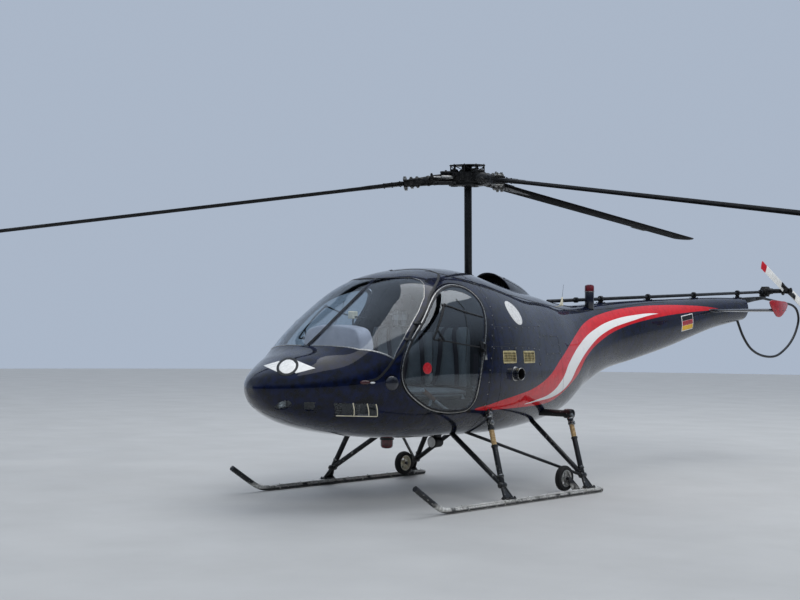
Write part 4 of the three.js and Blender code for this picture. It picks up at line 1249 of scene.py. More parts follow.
def leg(place, side, way):
    """A leg: its strut and oleo, the foot on the skid and the fork on the hull."""
    x, y = way * SKID_X, FEET[place]
    knee = (way * KNEE_X, y, KNEE_Z)
    strut_top, oleo_top = mirrored(STRUT_TOP[place], way), mirrored(OLEO_TOP[place], way)
    along = Vector(oleo_top) - Vector(knee)
    bare, cap = OLEO_BARE[place]

    def up(share):
        return between(knee, oleo_top, share)
    collar = [(20, -7), (27, -7), (27, 7), (20, 7)]
    parts = [
        rod(knee, between(knee, strut_top, 1.05), 21, sides=24, bevel=2),
        rod(knee, up(bare), 22.5, sides=24, bevel=3),
        turned(collar, up(bare), along, 24),
        rod(up(cap), up(0.95), 21, 26, sides=24, bevel=3),
        turned(collar, up(cap + 0.02), along, 24),
        turned(collar, up(0.12), along, 24),
        rod((knee[0], y - 34, KNEE_Z), (knee[0], y + 34, KNEE_Z), 23, sides=24, bevel=4),
        bolts([((knee[0], y + 34 * end, KNEE_Z), (0, end, 0)) for end in (-1, 1)], 22)]
    for shift in (-46, 46):
        parts.append(rod((x, y + shift, 52), (knee[0], y + shift * 0.2, KNEE_Z), 12, sides=16))
    gusset = [(x, y - 40, 58), (x, y + 40, 58), (knee[0] + way * 6, y + 8, 138),
              (knee[0] + way * 6, y - 8, 138)]
    parts += [
        slab(gusset, (way * 5, 0, 2), 1),
        block((x - 24, y - 66, 48.5), (x + 24, y + 66, 60), 3),
        bolts([((x + way * 14, y + shift, 60), (0, 0, 1)) for shift in (-56, 0, 56)]
              + [((x - way * 14, y + shift, 60), (0, 0, 1)) for shift in (-56, 56)], 15),
        rod(up(0.93), up(1.0), 21, 24, sides=24, bevel=3)]
    if place == "rear":
        parts += [
            rod((knee[0], y - 20, 154), (way * 366, -468, 522), 12.5, sides=20),
            turned([(29.4, -40), (39, -38), (41, -20), (41, 20), (39, 34), (29.4, 36)],
                   (way * 735, 480, 648), (way, 0, 0), 28)]
    else:
        low, high = sorted((way * 648, way * 712))
        parts += [block((low, start, 660), (high, start + 16, 732), 4) for start in (-600, -564)]
        parts.append(bolts([((way * 694, -600, 700), (0, -1, 0)),
                            ((way * 694, -548, 700), (0, 1, 0))], 22))
    fit(f"{place}_leg_frame_{side}", parts, "gear_worn_edge_lit", f"{place}_leg_{side}")
    folds = np.linspace(bare + 0.005, cap - 0.005, 15) * along.length
    boot = [(22.5 if k % 2 else 19.5, height) for k, height in enumerate(folds)]
    fit(f"{place}_oleo_boot_{side}",
        turned([(10, folds[0]), *boot, (10, folds[-1])], knee, along, 28, 60), "oleo")
    fit(f"{place}_oleo_cap_{side}", [
        rod(up(0.115), up(0.135), 27, sides=24), rod(up(0.90), up(0.92), 29, sides=24),
        bolts([(up(s), (way, 0, 0.2)) for s in (0.96, 0.84)], 46)], "bright")


class HELI_OT_wheels(bpy.types.Operator):
    """Adds the ground handling wheels"""
    bl_idname = "heli.wheels"
    bl_label = "Wheels"

    def execute(self, context):
        tyre, rim = tyre_model(), rim_model()
        for side, way in SIDES.items():
            matrix, wheel = (None if way > 0 else ACROSS), {"body": f"{side}_wheel"}
            fit(f"tyre_{side}", copied(tyre, matrix), "tyre", f"wheel_tyre_{side}", **wheel)
            fit(f"rim_{side}", copied(rim, matrix), "rim" if way > 0 else "rim_white",
                f"wheel_rim_{side}", **wheel)
        for model in (tyre, rim):
            bpy.data.objects.remove(model)
        return {"FINISHED"}


def tyre_model():
    tread = [(68, -20), (73, -25), (92, -26), (99, -23), (102, -17), (100.5, -15), (100.5, -12),
             (104, -11), (105, -2), (102.5, -1.2), (102.5, 1.2), (105, 2), (104, 11),
             (100.5, 12), (100.5, 15), (102, 17), (99, 23), (92, 26), (73, 25), (68, 20)]
    return turned(tread, WHEEL, (1, 0, 0), 56, 35)


def rim_model():
    """A web with round holes between a rim and a hub."""
    axle = (1, 0, 0)
    web = turned([(14, -7), (60, -7), (60, 7), (14, 7)], WHEEL, axle, 60)
    x, y, z = WHEEL
    for a, b in ring_of(HOLE_CIRCLE / 2, WHEEL_HOLES, 180 / WHEEL_HOLES):
        hole = rod((x - 20, y + a, z + b), (x + 20, y + a, z + b), HOLE_RADIUS, sides=28,
                   bevel=0)
        applied(web, "BOOLEAN", operation="DIFFERENCE", object=hole, solver="EXACT")
        bpy.data.objects.remove(hole)
    return joined(
        rounded(web, 1.2),
        turned([(57, -20), (66, -25), (69, -24), (69, -18), (64, -13), (64, 13), (69, 18),
                (69, 24), (66, 25), (57, 20)], WHEEL, axle, 56),
        turned([(11, -22), (20, -22), (22, -16), (22, 16), (20, 22), (11, 22)], WHEEL, axle, 32))


# The tail

HANGERS = (2060, 2930, 3860, 4840)
GUARD = [
    (4815, 1540), (4885, 1440), (4975, 1329), (5130, 1205), (5315, 1131), (5560, 1092),
    (5800, 1100), (5990, 1160), (6180, 1260), (6320, 1390), (6396, 1545), (6350, 1650),
    (6240, 1705), (5900, 1738), (5440, 1775)]
TAIL_HUB = (270, 5550, 1857)
TAIL_ANGLE, TAIL_RADIUS, TAIL_CHORD = 155.6, 710, 95
SHAFT_SLOPE = 0.0512
SHAFT_AXIS = (0, 1, SHAFT_SLOPE)
# Columns: y, half width, bottom and top of the beam that carries the gear case
SUPPORT = ((4860, 64, 1690, 1760), (5200, 46, 1735, 1782), (5475, 34, 1764, 1795))
# A stabiliser's height, its front and rear edges, and its root and tip
WING_Z, WING_FORE, WING_AFT, WING_ROOT, WING_TIP = 1600, 3940, 4360, 105, 830
TIP_PLATE = [(3952, 1682), (3990, 1700), (4080, 1703), (4210, 1699), (4320, 1692), (4358, 1672),
             (4344, 1634), (4284, 1582), (4220, 1542), (4160, 1528), (4104, 1538), (4040, 1584),
             (3972, 1644)]


def on_shaft(y):
    """The point of the drive shaft's axis at one y."""
    return (0, y, 1654 + SHAFT_SLOPE * (y - 1674))


class HELI_OT_tail(bpy.types.Operator):
    """Adds the drive shaft, its hangers, the guard, the gearbox and the fins"""
    bl_idname = "heli.tail"
    bl_label = "Tail"

    def execute(self, context):
        coupling = [(16, -16), (26, -16), (26, -8), (20, -5), (20, 5), (26, 8), (26, 16),
                    (16, 16)]
        fit("drive_shaft", [
            rod(on_shaft(1180), on_shaft(5464), 16.5, sides=28),
            *(turned(coupling, on_shaft(y), SHAFT_AXIS, 24) for y in (1640, 5405))],
            "shaft", "tail_driveshaft", body="driveshaft")
        for number, y in enumerate(HANGERS, 1):
            fit(f"shaft_hanger_{number}", shaft_hanger(y), "gear")
        fit("guard_hoop", tube(flowing([(0, y, z) for y, z in GUARD], 40), 14, sides=16),
            "gear", "tail_guard")
        fit("tail_gear_case", gear_case(), "metal", "tail_gearbox", slot="gear_black")
        fit("tail_support_beam", [support_beam(near, far) for near, far in
                                  zip(SUPPORT, SUPPORT[1:])], "gear")
        for side, way in SIDES.items():
            fit(f"stabiliser_wing_{side}", stabiliser(way), "navy", f"stabiliser_{side}")
            plate = slab([(way * 830.4, y, z) for y, z in flowing(TIP_PLATE, 16, closed=True)],
                         (way * 11.5, 0, 0), 3, 3)
            fit(f"tip_plate_{side}", plate, "red", f"tip_fin_{side}")
            fit(f"tip_plate_bolts_{side}", bolts([((way * 842, y, WING_Z), (way, 0, 0))
                                                  for y in (4070, 4170, 4250)], 11), "bright")
        return {"FINISHED"}


def shaft_hanger(y):
    """A plate on the boom that narrows upwards to the bearing round the shaft."""
    top, under = section(y)[1], on_shaft(y)[2] - 18
    return [
        slab([(x, y - 8, z) for x, z in (
            (-34, top - 8), (34, top - 8), (26, top + 5), (15, under), (-15, under),
            (-26, top + 5))], (0, 16, 0), 2),
        turned([(19, -16), (29, -16), (31, -12), (31, 12), (29, 16), (19, 16)], on_shaft(y),
               SHAFT_AXIS, 28),
        bolts([((x, y, top + 1), (0, 0, 1)) for x in (-44, 44)], 10),
        block((-52, y - 12, top - 6), (52, y + 12, top + 1.5), 2)]


def support_beam(near, far):
    """A stretch of the beam, extruded from its near end and tapered to its far end."""
    y, half, low, high = near
    far_y, far_half, far_low, far_high = far
    beam = slab([(-half, y, low), (half, y, low), (half, y, high), (-half, y, high)],
                (0, far_y - y, 0), bevel=None)
    for vertex in beam.data.vertices:
        spot = from_foot(vertex.co)
        if abs(spot.y - far_y) < 0.1:
            vertex.co = at(math.copysign(far_half, spot.x), far_y,
                           far_low if spot.z < (low + high) / 2 else far_high)
    return rounded(beam, 8, 3)


def gear_case():
    """The tail gear case, its neck on the shaft, its foot, cooling fins and bolts."""
    _, y, z = TAIL_HUB
    case = turned([(0, -54), (36, -54), (50, -44), (55, -20), (55, 20), (50, 42), (36, 52),
                   (33, 90), (27, 96), (26, 188), (15.9, 188), (15.9, 150), (0, 150)],
                  (0, y - 26, z), (1, 0, 0), 36)
    neck = rod(on_shaft(5466), on_shaft(5500), 30, 40, sides=28, bevel=4)
    foot = block((-34, 5434, 1795), (34, 5560, 1818), 4)
    heads = bolts([((x, along, 1817), (0, 0, 1)) for x in (-26, 26) for along in (5446, 5552)],
                  12)
    fins = [block((x - 2, 5486, 1800), (x + 2, 5560, 1912), 1.5) for x in range(-30, 31, 15)]
    return [case, neck, foot, heads, *fins]


def stabiliser(way):
    """A wing from the boom to its tip plate, with a collar at its root."""
    outline = wing_outline(WING_AFT - WING_FORE, 34, 18)
    return [
        slab([(way * WING_ROOT, WING_FORE + a, WING_Z + b) for a, b in outline],
             (way * (WING_TIP - WING_ROOT), 0, 0), 0.8),
        slab([(way * WING_ROOT, WING_FORE - 6 + a * 1.03, WING_Z + b * 1.25)
              for a, b in outline], (way * 50, 0, 0), 1)]


class HELI_OT_tail_rotor(bpy.types.Operator):
    """Adds the tail rotor's hub, horns, links and blades"""
    bl_idname = "heli.tail_rotor"
    bl_label = "Tail rotor"

    def execute(self, context):
        rotor = {"body": "tail_rotor"}
        fit("tail_rotor_head", tail_rotor_head(), "metal", "tail_rotor_hub", **rotor)
        for number, way in ((1, 1), (2, -1)):
            chord, out = TAIL_CHORD_WAY * way, TAIL_SPAN * way
            foot = Vector(TAIL_HUB) + out * 116
            outline = [foot + chord * (a - TAIL_CHORD * 0.3) + AXLE_WAY * b
                       for a, b in wing_outline(TAIL_CHORD, 14)]
            fit(f"tail_blade_{number}", slab(outline, out * (TAIL_RADIUS - 117), 1.5),
                "tail_blade", f"tail_rotor_blade_{number}", **rotor)
            cuff = slab([foot + chord * a + AXLE_WAY * b for a, b in (
                (-24, -9), (34, -9), (34, 9), (-24, 9))], out * 74, 2)
            heads = bolts([(foot + out * reach + chord * 6 + AXLE_WAY * 9 * face,
                            AXLE_WAY * face) for reach in (18, 52) for face in (1, -1)], 14)
            fit(f"tail_cuff_{number}", [cuff, heads], "metal", **rotor)
        return {"FINISHED"}


AXLE_WAY = Vector((1, 0, 0))
TAIL_SPAN = Vector((0, math.cos(math.radians(TAIL_ANGLE)), math.sin(math.radians(TAIL_ANGLE))))
TAIL_CHORD_WAY = AXLE_WAY.cross(TAIL_SPAN)


def tail_rotor_head():
    """The tail rotor's axle, flanges and hub, and the arm, horn and link of each blade."""
    x, y, z = TAIL_HUB
    hub = Vector(TAIL_HUB)
    parts = [
        rod((152, y, z), (x + 45, y, z), 14.8, sides=24),
        turned([(14, 203), (48, 203), (48, 212), (30, 214), (30, 226), (14, 226)], (0, y, z),
               AXLE_WAY, 32),
        turned([(14, x + 24), (34, x + 26), (38, x + 30), (38, x + 38), (14, x + 42)],
               (0, y, z), AXLE_WAY, 32),
        block((x - 22, y - 32, z - 32), (x + 22, y + 32, z + 32), 6),
        rod((x + 40, y, z), (x + 52, y, z), 13, sides=6)]
    for way in BACK_AND_FORTH:
        chord, out = TAIL_CHORD_WAY * way, TAIL_SPAN * way
        horn = hub + out * 70
        link = horn + chord * 58 - AXLE_WAY * 6
        parts += [
            rod(hub + out * 20, hub + out * 115.6, 26, 21, sides=28, bevel=3),
            rod(horn, horn + chord * 62 - AXLE_WAY * 6, 7, sides=14),
            rod(link, (214, *(hub + chord * 42)[1:]), 5, sides=12)]
    return parts


# Trims, seams and patches on the skin

def onto_hull(point, towards):
    """Where a line that starts outside the skin and goes one way meets it, in mm."""
    point, step = Vector(point), Vector(towards).normalized()
    far = 0.0
    while hull_field(*(point + step * far)) > 0:
        far += 10
        if far > 1500:
            raise RuntimeError(f"no skin near {tuple(point)}")
    near = max(far - 10, 0.0)
    for _ in range(12):
        middle = (near + far) / 2
        if hull_field(*(point + step * middle)) > 0:
            near = middle
        else:
            far = middle
    return point + step * far


def laid(places, top, foot, bevel=0.8):
    """A strip or skin through rows of hull points, from foot to top mm above it."""
    sheet = facing_out(grid(len(places) - 1, len(places[0]) - 1,
                            lambda column, row: places[column][row]))
    applied(sheet, "SOLIDIFY", thickness=(top - foot) / 1000, offset=1 if foot < 0 else -1)
    return rounded(sheet, bevel, 2, 50)


def ribbon(path, width, height, closed=False, bevel=0.8):
    """A flat strip of even width on the skin along points in millimetres."""
    path = [Vector(p) for p in path]
    count = len(path)
    places = [[], [], []]
    for k in range(count + 1 if closed else count):
        here = path[k % count]
        ahead = path[(k + 1) % count if closed else min(k + 1, count - 1)]
        back = path[(k - 1) % count if closed else max(k - 1, 0)]
        up = hull_normal(*here)
        aside = (ahead - back).cross(up).normalized() * width / 2
        for column in (0, 1, 2):
            places[column].append(here + aside * (column - 1) - up)
    return laid(places, height, -1, bevel)


def patch(centre, across, outline, lift=0.9, rings=6, facing=None, hole=0.0):
    """A thin skin on the hull inside an outline of (across, up) points, dropped
    on it against its normal or against another facing, with a hole if asked."""
    centre = Vector(centre)
    up = Vector(facing).normalized() if facing else hull_normal(*centre)
    across = (Vector(across) - up * Vector(across).dot(up)).normalized()
    rise = up.cross(across)
    outline = np.array(outline, float)
    middle = outline.mean(0)
    places = []
    for share in np.linspace(hole, 1, rings + 1):
        row = []
        for a, b in middle + (np.append(outline, outline[:1], 0) - middle) * share:
            flat = centre + across * a + rise * b
            point = onto_hull(flat + up * 160, -up)
            row.append(point + hull_normal(*point) * lift)
        places.append(row)
    return laid(places, lift + 0.6, 0, 0.3)


def edged(corners, steps=6):
    """An outline through its corners, with points along each edge."""
    points = []
    for a, b in zip(corners, [*corners[1:], corners[0]]):
        points += [(a[0] + (b[0] - a[0]) * t, a[1] + (b[1] - a[1]) * t)
                   for t in np.arange(steps) / steps]
    return points


def framed(left, right, low, high, steps=6):
    """A rectangle with points along each edge."""
    return edged([(left, low), (right, low), (right, high), (left, high)], steps)


def along_hull(points, spacing=24):
    return [on_hull(*p) for p in flowing(points, spacing)]


def side_points(pairs):
    """Points of the left side's skin, from (y, z) pairs."""
    return [(side_x(y, z), y, z) for y, z in pairs]


DOOR_SEAM = [(369, -812, 1779), (432, -890, 1740), (531, -1066, 1654), (574, -1157, 1594),
             (615, -1230, 1524), (652, -1408, 1370), (668, -1557, 1206), (657, -1632, 1133),
             (641, -1700, 1052), (612, -1775, 980), (572, -1858, 959)]
ROOF_BAND = [(6, -952, 1819), (60, -905, 1829), (132, -836, 1836), (195, -795, 1832),
             (244, -776, 1822), (341, -784, 1793), (385, -820, 1770)]
CABIN_SEAM = [(300, -505, 1802), (451, -450, 1740), (530, -440, 1690), (657, -474, 1493),
              (720, -544, 1365), (774, -628, 1074), (772, -651, 909), (740, -640, 720),
              (640, -610, 590), (500, -560, 525)]
ROOF_SEAM = [(246, -834, 1817), (332, -761, 1798), (405, -649, 1769), (443, -556, 1743),
             (462, -467, 1711), (469, -249, 1680), (451, -91, 1660), (376, 257, 1631),
             (308, 640, 1594), (226, 1059, 1559), (185, 1408, 1548), (160, 1650, 1562),
             (142, 2100, 1597), (112, 2550, 1642), (92, 3100, 1676)]
BAY_LINES = [
    [(717, -542, 1373), (543, 313, 1382)],
    [(543, 313, 1382), (590, 260, 1290), (632, 216, 1215), (640, 205, 1120), (628, 240, 960)],
    [(759, -593, 1217), (632, 216, 1215)],
    [(487, -321, 1677), (600, -420, 1560), (700, -520, 1400)],
    [(500, 640, 1330), (560, 660, 1190), (560, 700, 1000), (470, 760, 800)]]
INNER_PANEL = [(-420, 1352), (-262, 1350), (-258, 1240), (-416, 1242)]
HATCH = [(345, 1308), (640, 1302), (640, 1155), (352, 1152)]


class HELI_OT_trims(bpy.types.Operator):
    """Lays bright trims, rubber seals and panel lines on the skin"""
    bl_idname = "heli.trims"
    bl_label = "Trims, seals and seams"

    def execute(self, context):
        width = context.scene.heli_looks.trim_width * 1000
        door = {"body": "{side}_door"}
        pane = [onto_hull(PANE_TURN @ Vector((a, b, PANE_FLAT[0].z + PANE_REACH[1])),
                          -PANE_FACING) for a, b in edged(PANE_EDGE, 5)]
        # The pane's first edge and its rear edge are wide and narrow bright trims
        both("windshield_trim", [ribbon(pane[1:16], width * 0.8, 2.2),
                                 ribbon(pane[15:61], width * 0.45, 1.8)], "bright")
        both("windshield_seal", ribbon([*pane[60:], pane[0]], 10, 1.6), "rubber")
        for name, inset, wide, height, finish, where in (
                ("door_trim", 13, width * 0.6, 2.4, "bright", door),
                ("door_glass_seal", 24, 12, 1.6, "rubber", door),
                ("door_edge_seal", -2, 4, 0.8, "rubber", {})):
            path = side_points(drawn_in(DOOR_OUTLINE, inset))
            both(name, ribbon(path, wide, height, closed=True), finish, **where)
        for name, points, wide, height in (
                ("pillar_seal", DOOR_SEAM, 19, 1.6), ("roof_band", ROOF_BAND, 24, 1.2),
                ("cabin_joint", CABIN_SEAM, 5, 0.7), ("roof_joint", ROOF_SEAM, 9, 1.2)):
            both(name, ribbon(along_hull(points), wide, height), "rubber")
        lines = [ribbon(along_hull(points, 40), 3.4, 0.6) for points in BAY_LINES]
        lines += [ribbon(side_points(edged(outline, 5)), 3.4, 0.6, closed=True)
                  for outline in (INNER_PANEL, HATCH)]
        both("bay_panel_lines", lines, "rubber")
        both("panel_fasteners", bolts(fastener_places(), 8, 12), "bright")
        return {"FINISHED"}


def fastener_places():
    """Where the screws sit: beside the seams, and on the hatch's edge."""
    heads = []
    for path, spacing in ((along_hull(CABIN_SEAM, 95), 22),
                          *((along_hull(points, 120), 14) for points in BAY_LINES[:3]),
                          (side_points(edged(HATCH, 2)), 0)):
        for here, ahead in zip(path, path[1:]):
            up = hull_normal(*here)
            aside = (Vector(ahead) - Vector(here)).cross(up).normalized() * spacing
            spot = onto_hull(Vector(here) + aside + up * 20, -up)
            heads.append((spot, hull_normal(*spot)))
    return heads


# The sliding pane's frame and wires: width, height and points of each bar
PANE_BARS = (
    (14, 4, [(644, -1065, 1539), (690, -1180, 1400), (731, -1288, 1269)]),
    (10, 3, [(658, -1078, 1516), (721, -1229, 1342)]),
    (12, 5, [(721, -1229, 1342), (748, -1180, 1262)]),
    (11, 3, [(640, -1090, 1541), (654, -1023, 1529), (684, -840, 1485), (696, -650, 1450)]),
    (11, 3, [(731, -1288, 1269), (760, -1020, 1240), (766, -772, 1212)]),
    (6, 1.4, [(614, -885, 1587), (667, -845, 1505)]),
    (5, 1.4, [(676, -857, 1493), (737, -891, 1345), (756, -925, 1268), (776, -959, 1096)]))
HINGE_PIN = (662, -1442, 1328)
HINGE_OUT = Vector((0.801, -0.372, 0.468)).normalized()
HINGE_UP = Vector((-0.097, 0.69, 0.717)).normalized()


class HELI_OT_door_fittings(bpy.types.Operator):
    """Adds the sliding panes, handles and hinges of the doors"""
    bl_idname = "heli.door_fittings"
    bl_label = "Door fittings"

    def execute(self, context):
        door = {"body": "{side}_door"}
        bars = [ribbon(along_hull(points), width, height)
                for width, height, points in PANE_BARS]
        for spot in ((650, -1060, 1535), (736, -1225, 1268)):
            spot = on_hull(*spot)
            bars.append(turned([(0, -2), (15, -2), (15, 6), (11, 9), (0, 9)], spot,
                               hull_normal(*spot), 24))
        both("sliding_pane_frame", bars, "rubber", **door)
        handle, keys = handle_and_lock()
        both("door_handle", handle, "gear", **door)
        both("door_lock", keys, "bright", **door)
        fixed, swung = hinge_halves()
        both("hinge_leaf", fixed, "gear")
        both("hinge_arm", swung, "gear", **door)
        disc = patch((741, -1365, 1055), (0, 1, 0), ellipse(82, 86), 2.6)
        fit("door_disc_left", disc, "red", body="left_door")
        return {"FINISHED"}


def handle_and_lock():
    """The door's bent lever on its plate, and the bright pieces that go with it."""
    spot = Vector((side_x(-742, 1190), -742, 1190))
    out, up = hull_normal(*spot), Vector((0, 0.18, 0.98))
    ahead = up.cross(out).normalized()
    lever = [spot + out * 26 + up * s + ahead * t
             for s, t in ((44, -8), (10, 0), (-36, 12), (-74, 24))]
    plate = edged([(-24, -74), (22, -74), (26, 66), (-20, 70)], 4)
    strip = flowing([(-757, 1130), (-772, 1050), (-794, 930), (-818, 830)], 24)
    handle = [patch(spot, (0, 1, 0), plate, 1.6, 4),
              rod(spot - out * 2, spot + out * 28, 17, sides=24, bevel=2),
              tube(flowing(lever, 8), 9.5, sides=12)]
    keys = [rod(spot + out * 27, spot + out * 31, 10, sides=24),
            rod(lever[-2], lever[-1], 10.5, sides=20),
            bolts([(spot + out * 2.6 + up * s, out) for s in (-60, 56)], 12, 16),
            ribbon(side_points(strip), 4, 3)]
    return handle, keys


def hinge_halves():
    """The leaves of both hinges that stay on the cabin, and those on the door."""
    across = HINGE_UP.cross(HINGE_OUT)
    pin = Vector(HINGE_PIN) + HINGE_OUT * 14

    def place(x, s, z):
        return pin + across * x + HINGE_UP * s + HINGE_OUT * z
    fixed, swung = [], []
    for start in (-105, 65):
        fixed.append(rod(place(0, start, 0), place(0, start + 22, 0), 8, bevel=1.5))
        fixed.append(rod(place(0, start + 5, 0), place(0, start + 47, 0), 3.4))
        swung.append(rod(place(0, start + 22.6, 0), place(0, start + 43.6, 0), 8, bevel=1.5))
        for pieces, side, low, high in ((fixed, -1, 0, 22), (swung, 1, 22.6, 43.6)):
            leaf = [place(side * a, start + low, b)
                    for a, b in ((0, -7), (30, -12), (30, -16), (0, -16))]
            pieces.append(slab(leaf, HINGE_UP * (high - low), 1))
    return fixed, swung


# The nose badge is laid on along the sight line, so it keeps its outline there
BADGE = {"centre": (143, -2226, 1064), "across": (0.68, 0.73, 0),
         "facing": (0.732, -0.681, 0.024)}
BADGE_LEAN = 25
POINTS = ([(-178, 6), (-62, -44), (-30, 0), (-62, 42)],
          [(201, -10), (70, 44), (30, 0), (58, -48)])
FLAG_CENTRE, FLAG_SLOPE = (180, 3433, 1463), (0, 1, 0.13)
FLAG_HALF, FLAG_STRIPE = 118, 48
# Columns: name, place, radius, height, how much longer than wide, finish and slot
CAPS = (
    ("nose_fairing", (663, -1664, 948), 54, 15, 1.0, "navy", None),
    ("side_lamp", (572, -1858, 955), 17, 16, 2.4, "dark_lamp", None),
    ("side_lamp_tip", (598, -1806, 952), 8, 8, 2.6, "silver", "blade_white"))
CHIN_TRIMS = (((-1924, 806), (-1870, 704)), ((-1827, 800), (-1768, 701)),
              ((-1985, 711), (-1710, 702)), ((-1763, 796), (-1708, 702)))


class HELI_OT_markings(bpy.types.Operator):
    """Lays the plain roundels, the flag and the chin bars on the skin"""
    bl_idname = "heli.markings"
    bl_label = "Markings and nose details"

    def execute(self, context):
        fit("nose_roundel", patch(outline=ellipse(120, 96, 48, BADGE_LEAN), lift=2.6, **BADGE),
            "white")
        fit("nose_roundel_ring", patch(outline=ellipse(166, 128, 48, BADGE_LEAN), lift=1.8,
                                       hole=0.76, rings=2, **BADGE), "rubber")
        fit("nose_points", [patch(outline=edged(corners, 5), lift=1.2, rings=5, **BADGE)
                            for corners in POINTS], "white")
        both("plain_oval", patch(on_hull(587, -104, 1497), (0, 1, 0),
                                 ellipse(196, 236, 56, 38), 1.0), "white")
        centre = on_hull(*FLAG_CENTRE)
        both("flag_border", patch(centre, FLAG_SLOPE, framed(-128, 128, -82, 82), 0.9),
             "white")
        for name, low, finish in (("flag_top", 26, "gear"), ("flag_middle", -24, "red"),
                                  ("flag_low", -74, "gold")):
            stripe = framed(-FLAG_HALF, FLAG_HALF, low, low + FLAG_STRIPE)
            both(name, patch(centre, FLAG_SLOPE, stripe, 1.6), finish, slot="blade_white")
        both("chin_window_trim", [ribbon(side_points(np.linspace(start, end, 7)), 7, 1.6)
                                  for start, end in CHIN_TRIMS], "cream")
        for name, spot, size, height, stretch, finish, slot in CAPS:
            both(name, hull_cap(on_hull(*spot), size, height, stretch), finish, slot=slot)
        return {"FINISHED"}


def hull_cap(spot, size, height, stretch):
    """A low dome on the skin, stretched along it."""
    up = hull_normal(*spot)
    profile = [(0, -3), (size, -3), (size, 1), (size * 0.86, height * 0.6),
               (size * 0.5, height * 0.93), (0, height)]
    along = Matrix.Scale(stretch, 4, Vector((-up.y, up.x, 0)).normalized())
    centre = Matrix.Translation(at(*spot))
    return moved(turned(profile, spot, up, 40, 60), centre @ along @ centre.inverted())


# Columns: y, half width and top of the air scoop, from its mouth to its end
SCOOP = ((270, 200, 1852), (400, 192, 1838), (520, 172, 1806), (620, 150, 1778),
         (740, 110, 1738), (860, 60, 1682))
SCOOP_FOOT, SCOOP_STEPS, SCOOP_WALL = 1600, 24, 8
# How far the mouth's feet sweep aft, and the y where that has faded out
SCOOP_SWEEP, SWEEP_END = 120, 450
BEACON_X, BEACON_Y = 112, 1700
UPRIGHT, FORE_AND_AFT = (0, 0, 1), (0, 1, 0)


class HELI_OT_bay_fittings(bpy.types.Operator):
    """Adds grilles, exhaust, intake hood, lamps and aerials"""
    bl_idname = "heli.bay_fittings"
    bl_label = "Engine bay, roof and belly"

    def execute(self, context):
        for side, way in SIDES.items():
            vents = joined(*louvred_vents())
            if way < 0:
                moved(vents, ACROSS).data.flip_normals()
            fit(f"side_louvres_{side}", vents, "louvre", f"vents_{side}")
        exhaust()
        scoop()
        roof_fittings()
        belly_lamps()
        end_plates()
        return {"FINISHED"}


# A grille's slats: their number, spacing, lowest height and sheet, how far their front
# edge stands off the skin, and how deep and how much higher their back edge lies
SLATS, SLAT_SPACING, SLAT_LOW, SLAT_SHEET = 6, 13, 10, 1.5
SLAT_FRONT, SLAT_DEPTH, SLAT_RISE = 2.5, 14, 9


def louvred_vents():
    """The grilles of the left side, each with a frame, its slats and two stays."""
    parts = []
    wide, high = VENT_SIZE[0] / 2, VENT_SIZE[1] / 2
    for y, z in VENTS:
        frame_line = framed(y - wide, y + wide, z - high, z + high, 4)
        parts.append(ribbon(side_points(frame_line), 13, 2, closed=True))
        for number in range(SLATS):
            low = z - high + SLAT_LOW + number * SLAT_SPACING
            foot = [Vector(p) + hull_normal(*p) * SLAT_FRONT for p in side_points(
                (across, low) for across in np.linspace(y - wide, y + wide, 7))]
            back = [p - hull_normal(*p) * SLAT_DEPTH + Vector((0, 0, SLAT_RISE))
                    for p in foot]
            slat = grid(1, len(foot) - 1, lambda column, row: (foot, back)[column][row])
            parts.append(applied(slat, "SOLIDIFY", thickness=SLAT_SHEET / 1000, offset=0))
        for across in (y - wide / 3, y + wide / 3):
            parts.append(ribbon(side_points((across, up) for up in np.linspace(
                z - high, z + high, 5)), 6, 1.5))
    return parts


def exhaust():
    y, z = EXHAUST
    skin = side_x(y, z)
    pipe = turned([
        (45.5, 560), (45.5, 793), (48, 795), (50, 793), (50, skin + 8), (56, skin + 6),
        (60, skin), (60, skin - 10), (50, skin - 10), (50, 560)], (0, y, z), (1, 0, 0), 48)
    fit("exhaust_pipe", pipe, "bright", "exhaust_stub")
    soot = turned([(42, 565), (45.2, 565), (45.2, 790), (42, 790)], (0, y, z), (1, 0, 0), 40)
    fit("exhaust_soot", [soot, rod((566, y, z), (572, y, z), 43, sides=32)], "soot")


def scoop():
    """The air scoop behind the mast: an arch, open in front, that fades aft."""
    places = []
    for turn in np.linspace(0, math.pi, SCOOP_STEPS + 1):
        line = []
        for y, half, top in SCOOP:
            fade = max(SWEEP_END - y, 0) / (SWEEP_END - SCOOP[0][0])
            line.append((half * math.cos(turn),
                         y + SCOOP_SWEEP * (1 - math.sin(turn) ** 0.8) * fade,
                         SCOOP_FOOT + (top - SCOOP_FOOT) * math.sin(turn) ** 0.6))
        places.append(line)
    shell = tidied(grid(SCOOP_STEPS, len(SCOOP) - 1,
                        lambda column, row: places[column][row]))
    top = max(shell.data.polygons, key=lambda face: face.center.z)
    if top.normal.z < 0:
        shell.data.flip_normals()
    for key in ("navy", "lining"):
        shell.data.materials.append(PALETTE[key])
    applied(shell, "SUBSURF", levels=2, render_levels=2)
    applied(shell, "SOLIDIFY", thickness=SCOOP_WALL / 1000, offset=-1, material_offset=1)
    fit("intake_scoop", rounded(shell, 1.5, 2, 50), None, "intake_hood", slot="navy_paint")
    fit("scoop_lip", tube([line[0] for line in places], 6, sides=10), "navy")
    # A solid black sheet stands behind the screen's bars across the scoop's mouth: painted shade
    # for the dark inside of the intake, not soot
    screen = [block((x - 3, 344, 1704), (x + 3, 354, 1808), 1) for x in range(-110, 111, 22)]
    fit("scoop_screen_with_shade_sheet", [block((-128, 352, 1700), (128, 366, 1812), 3), *screen], "soot")


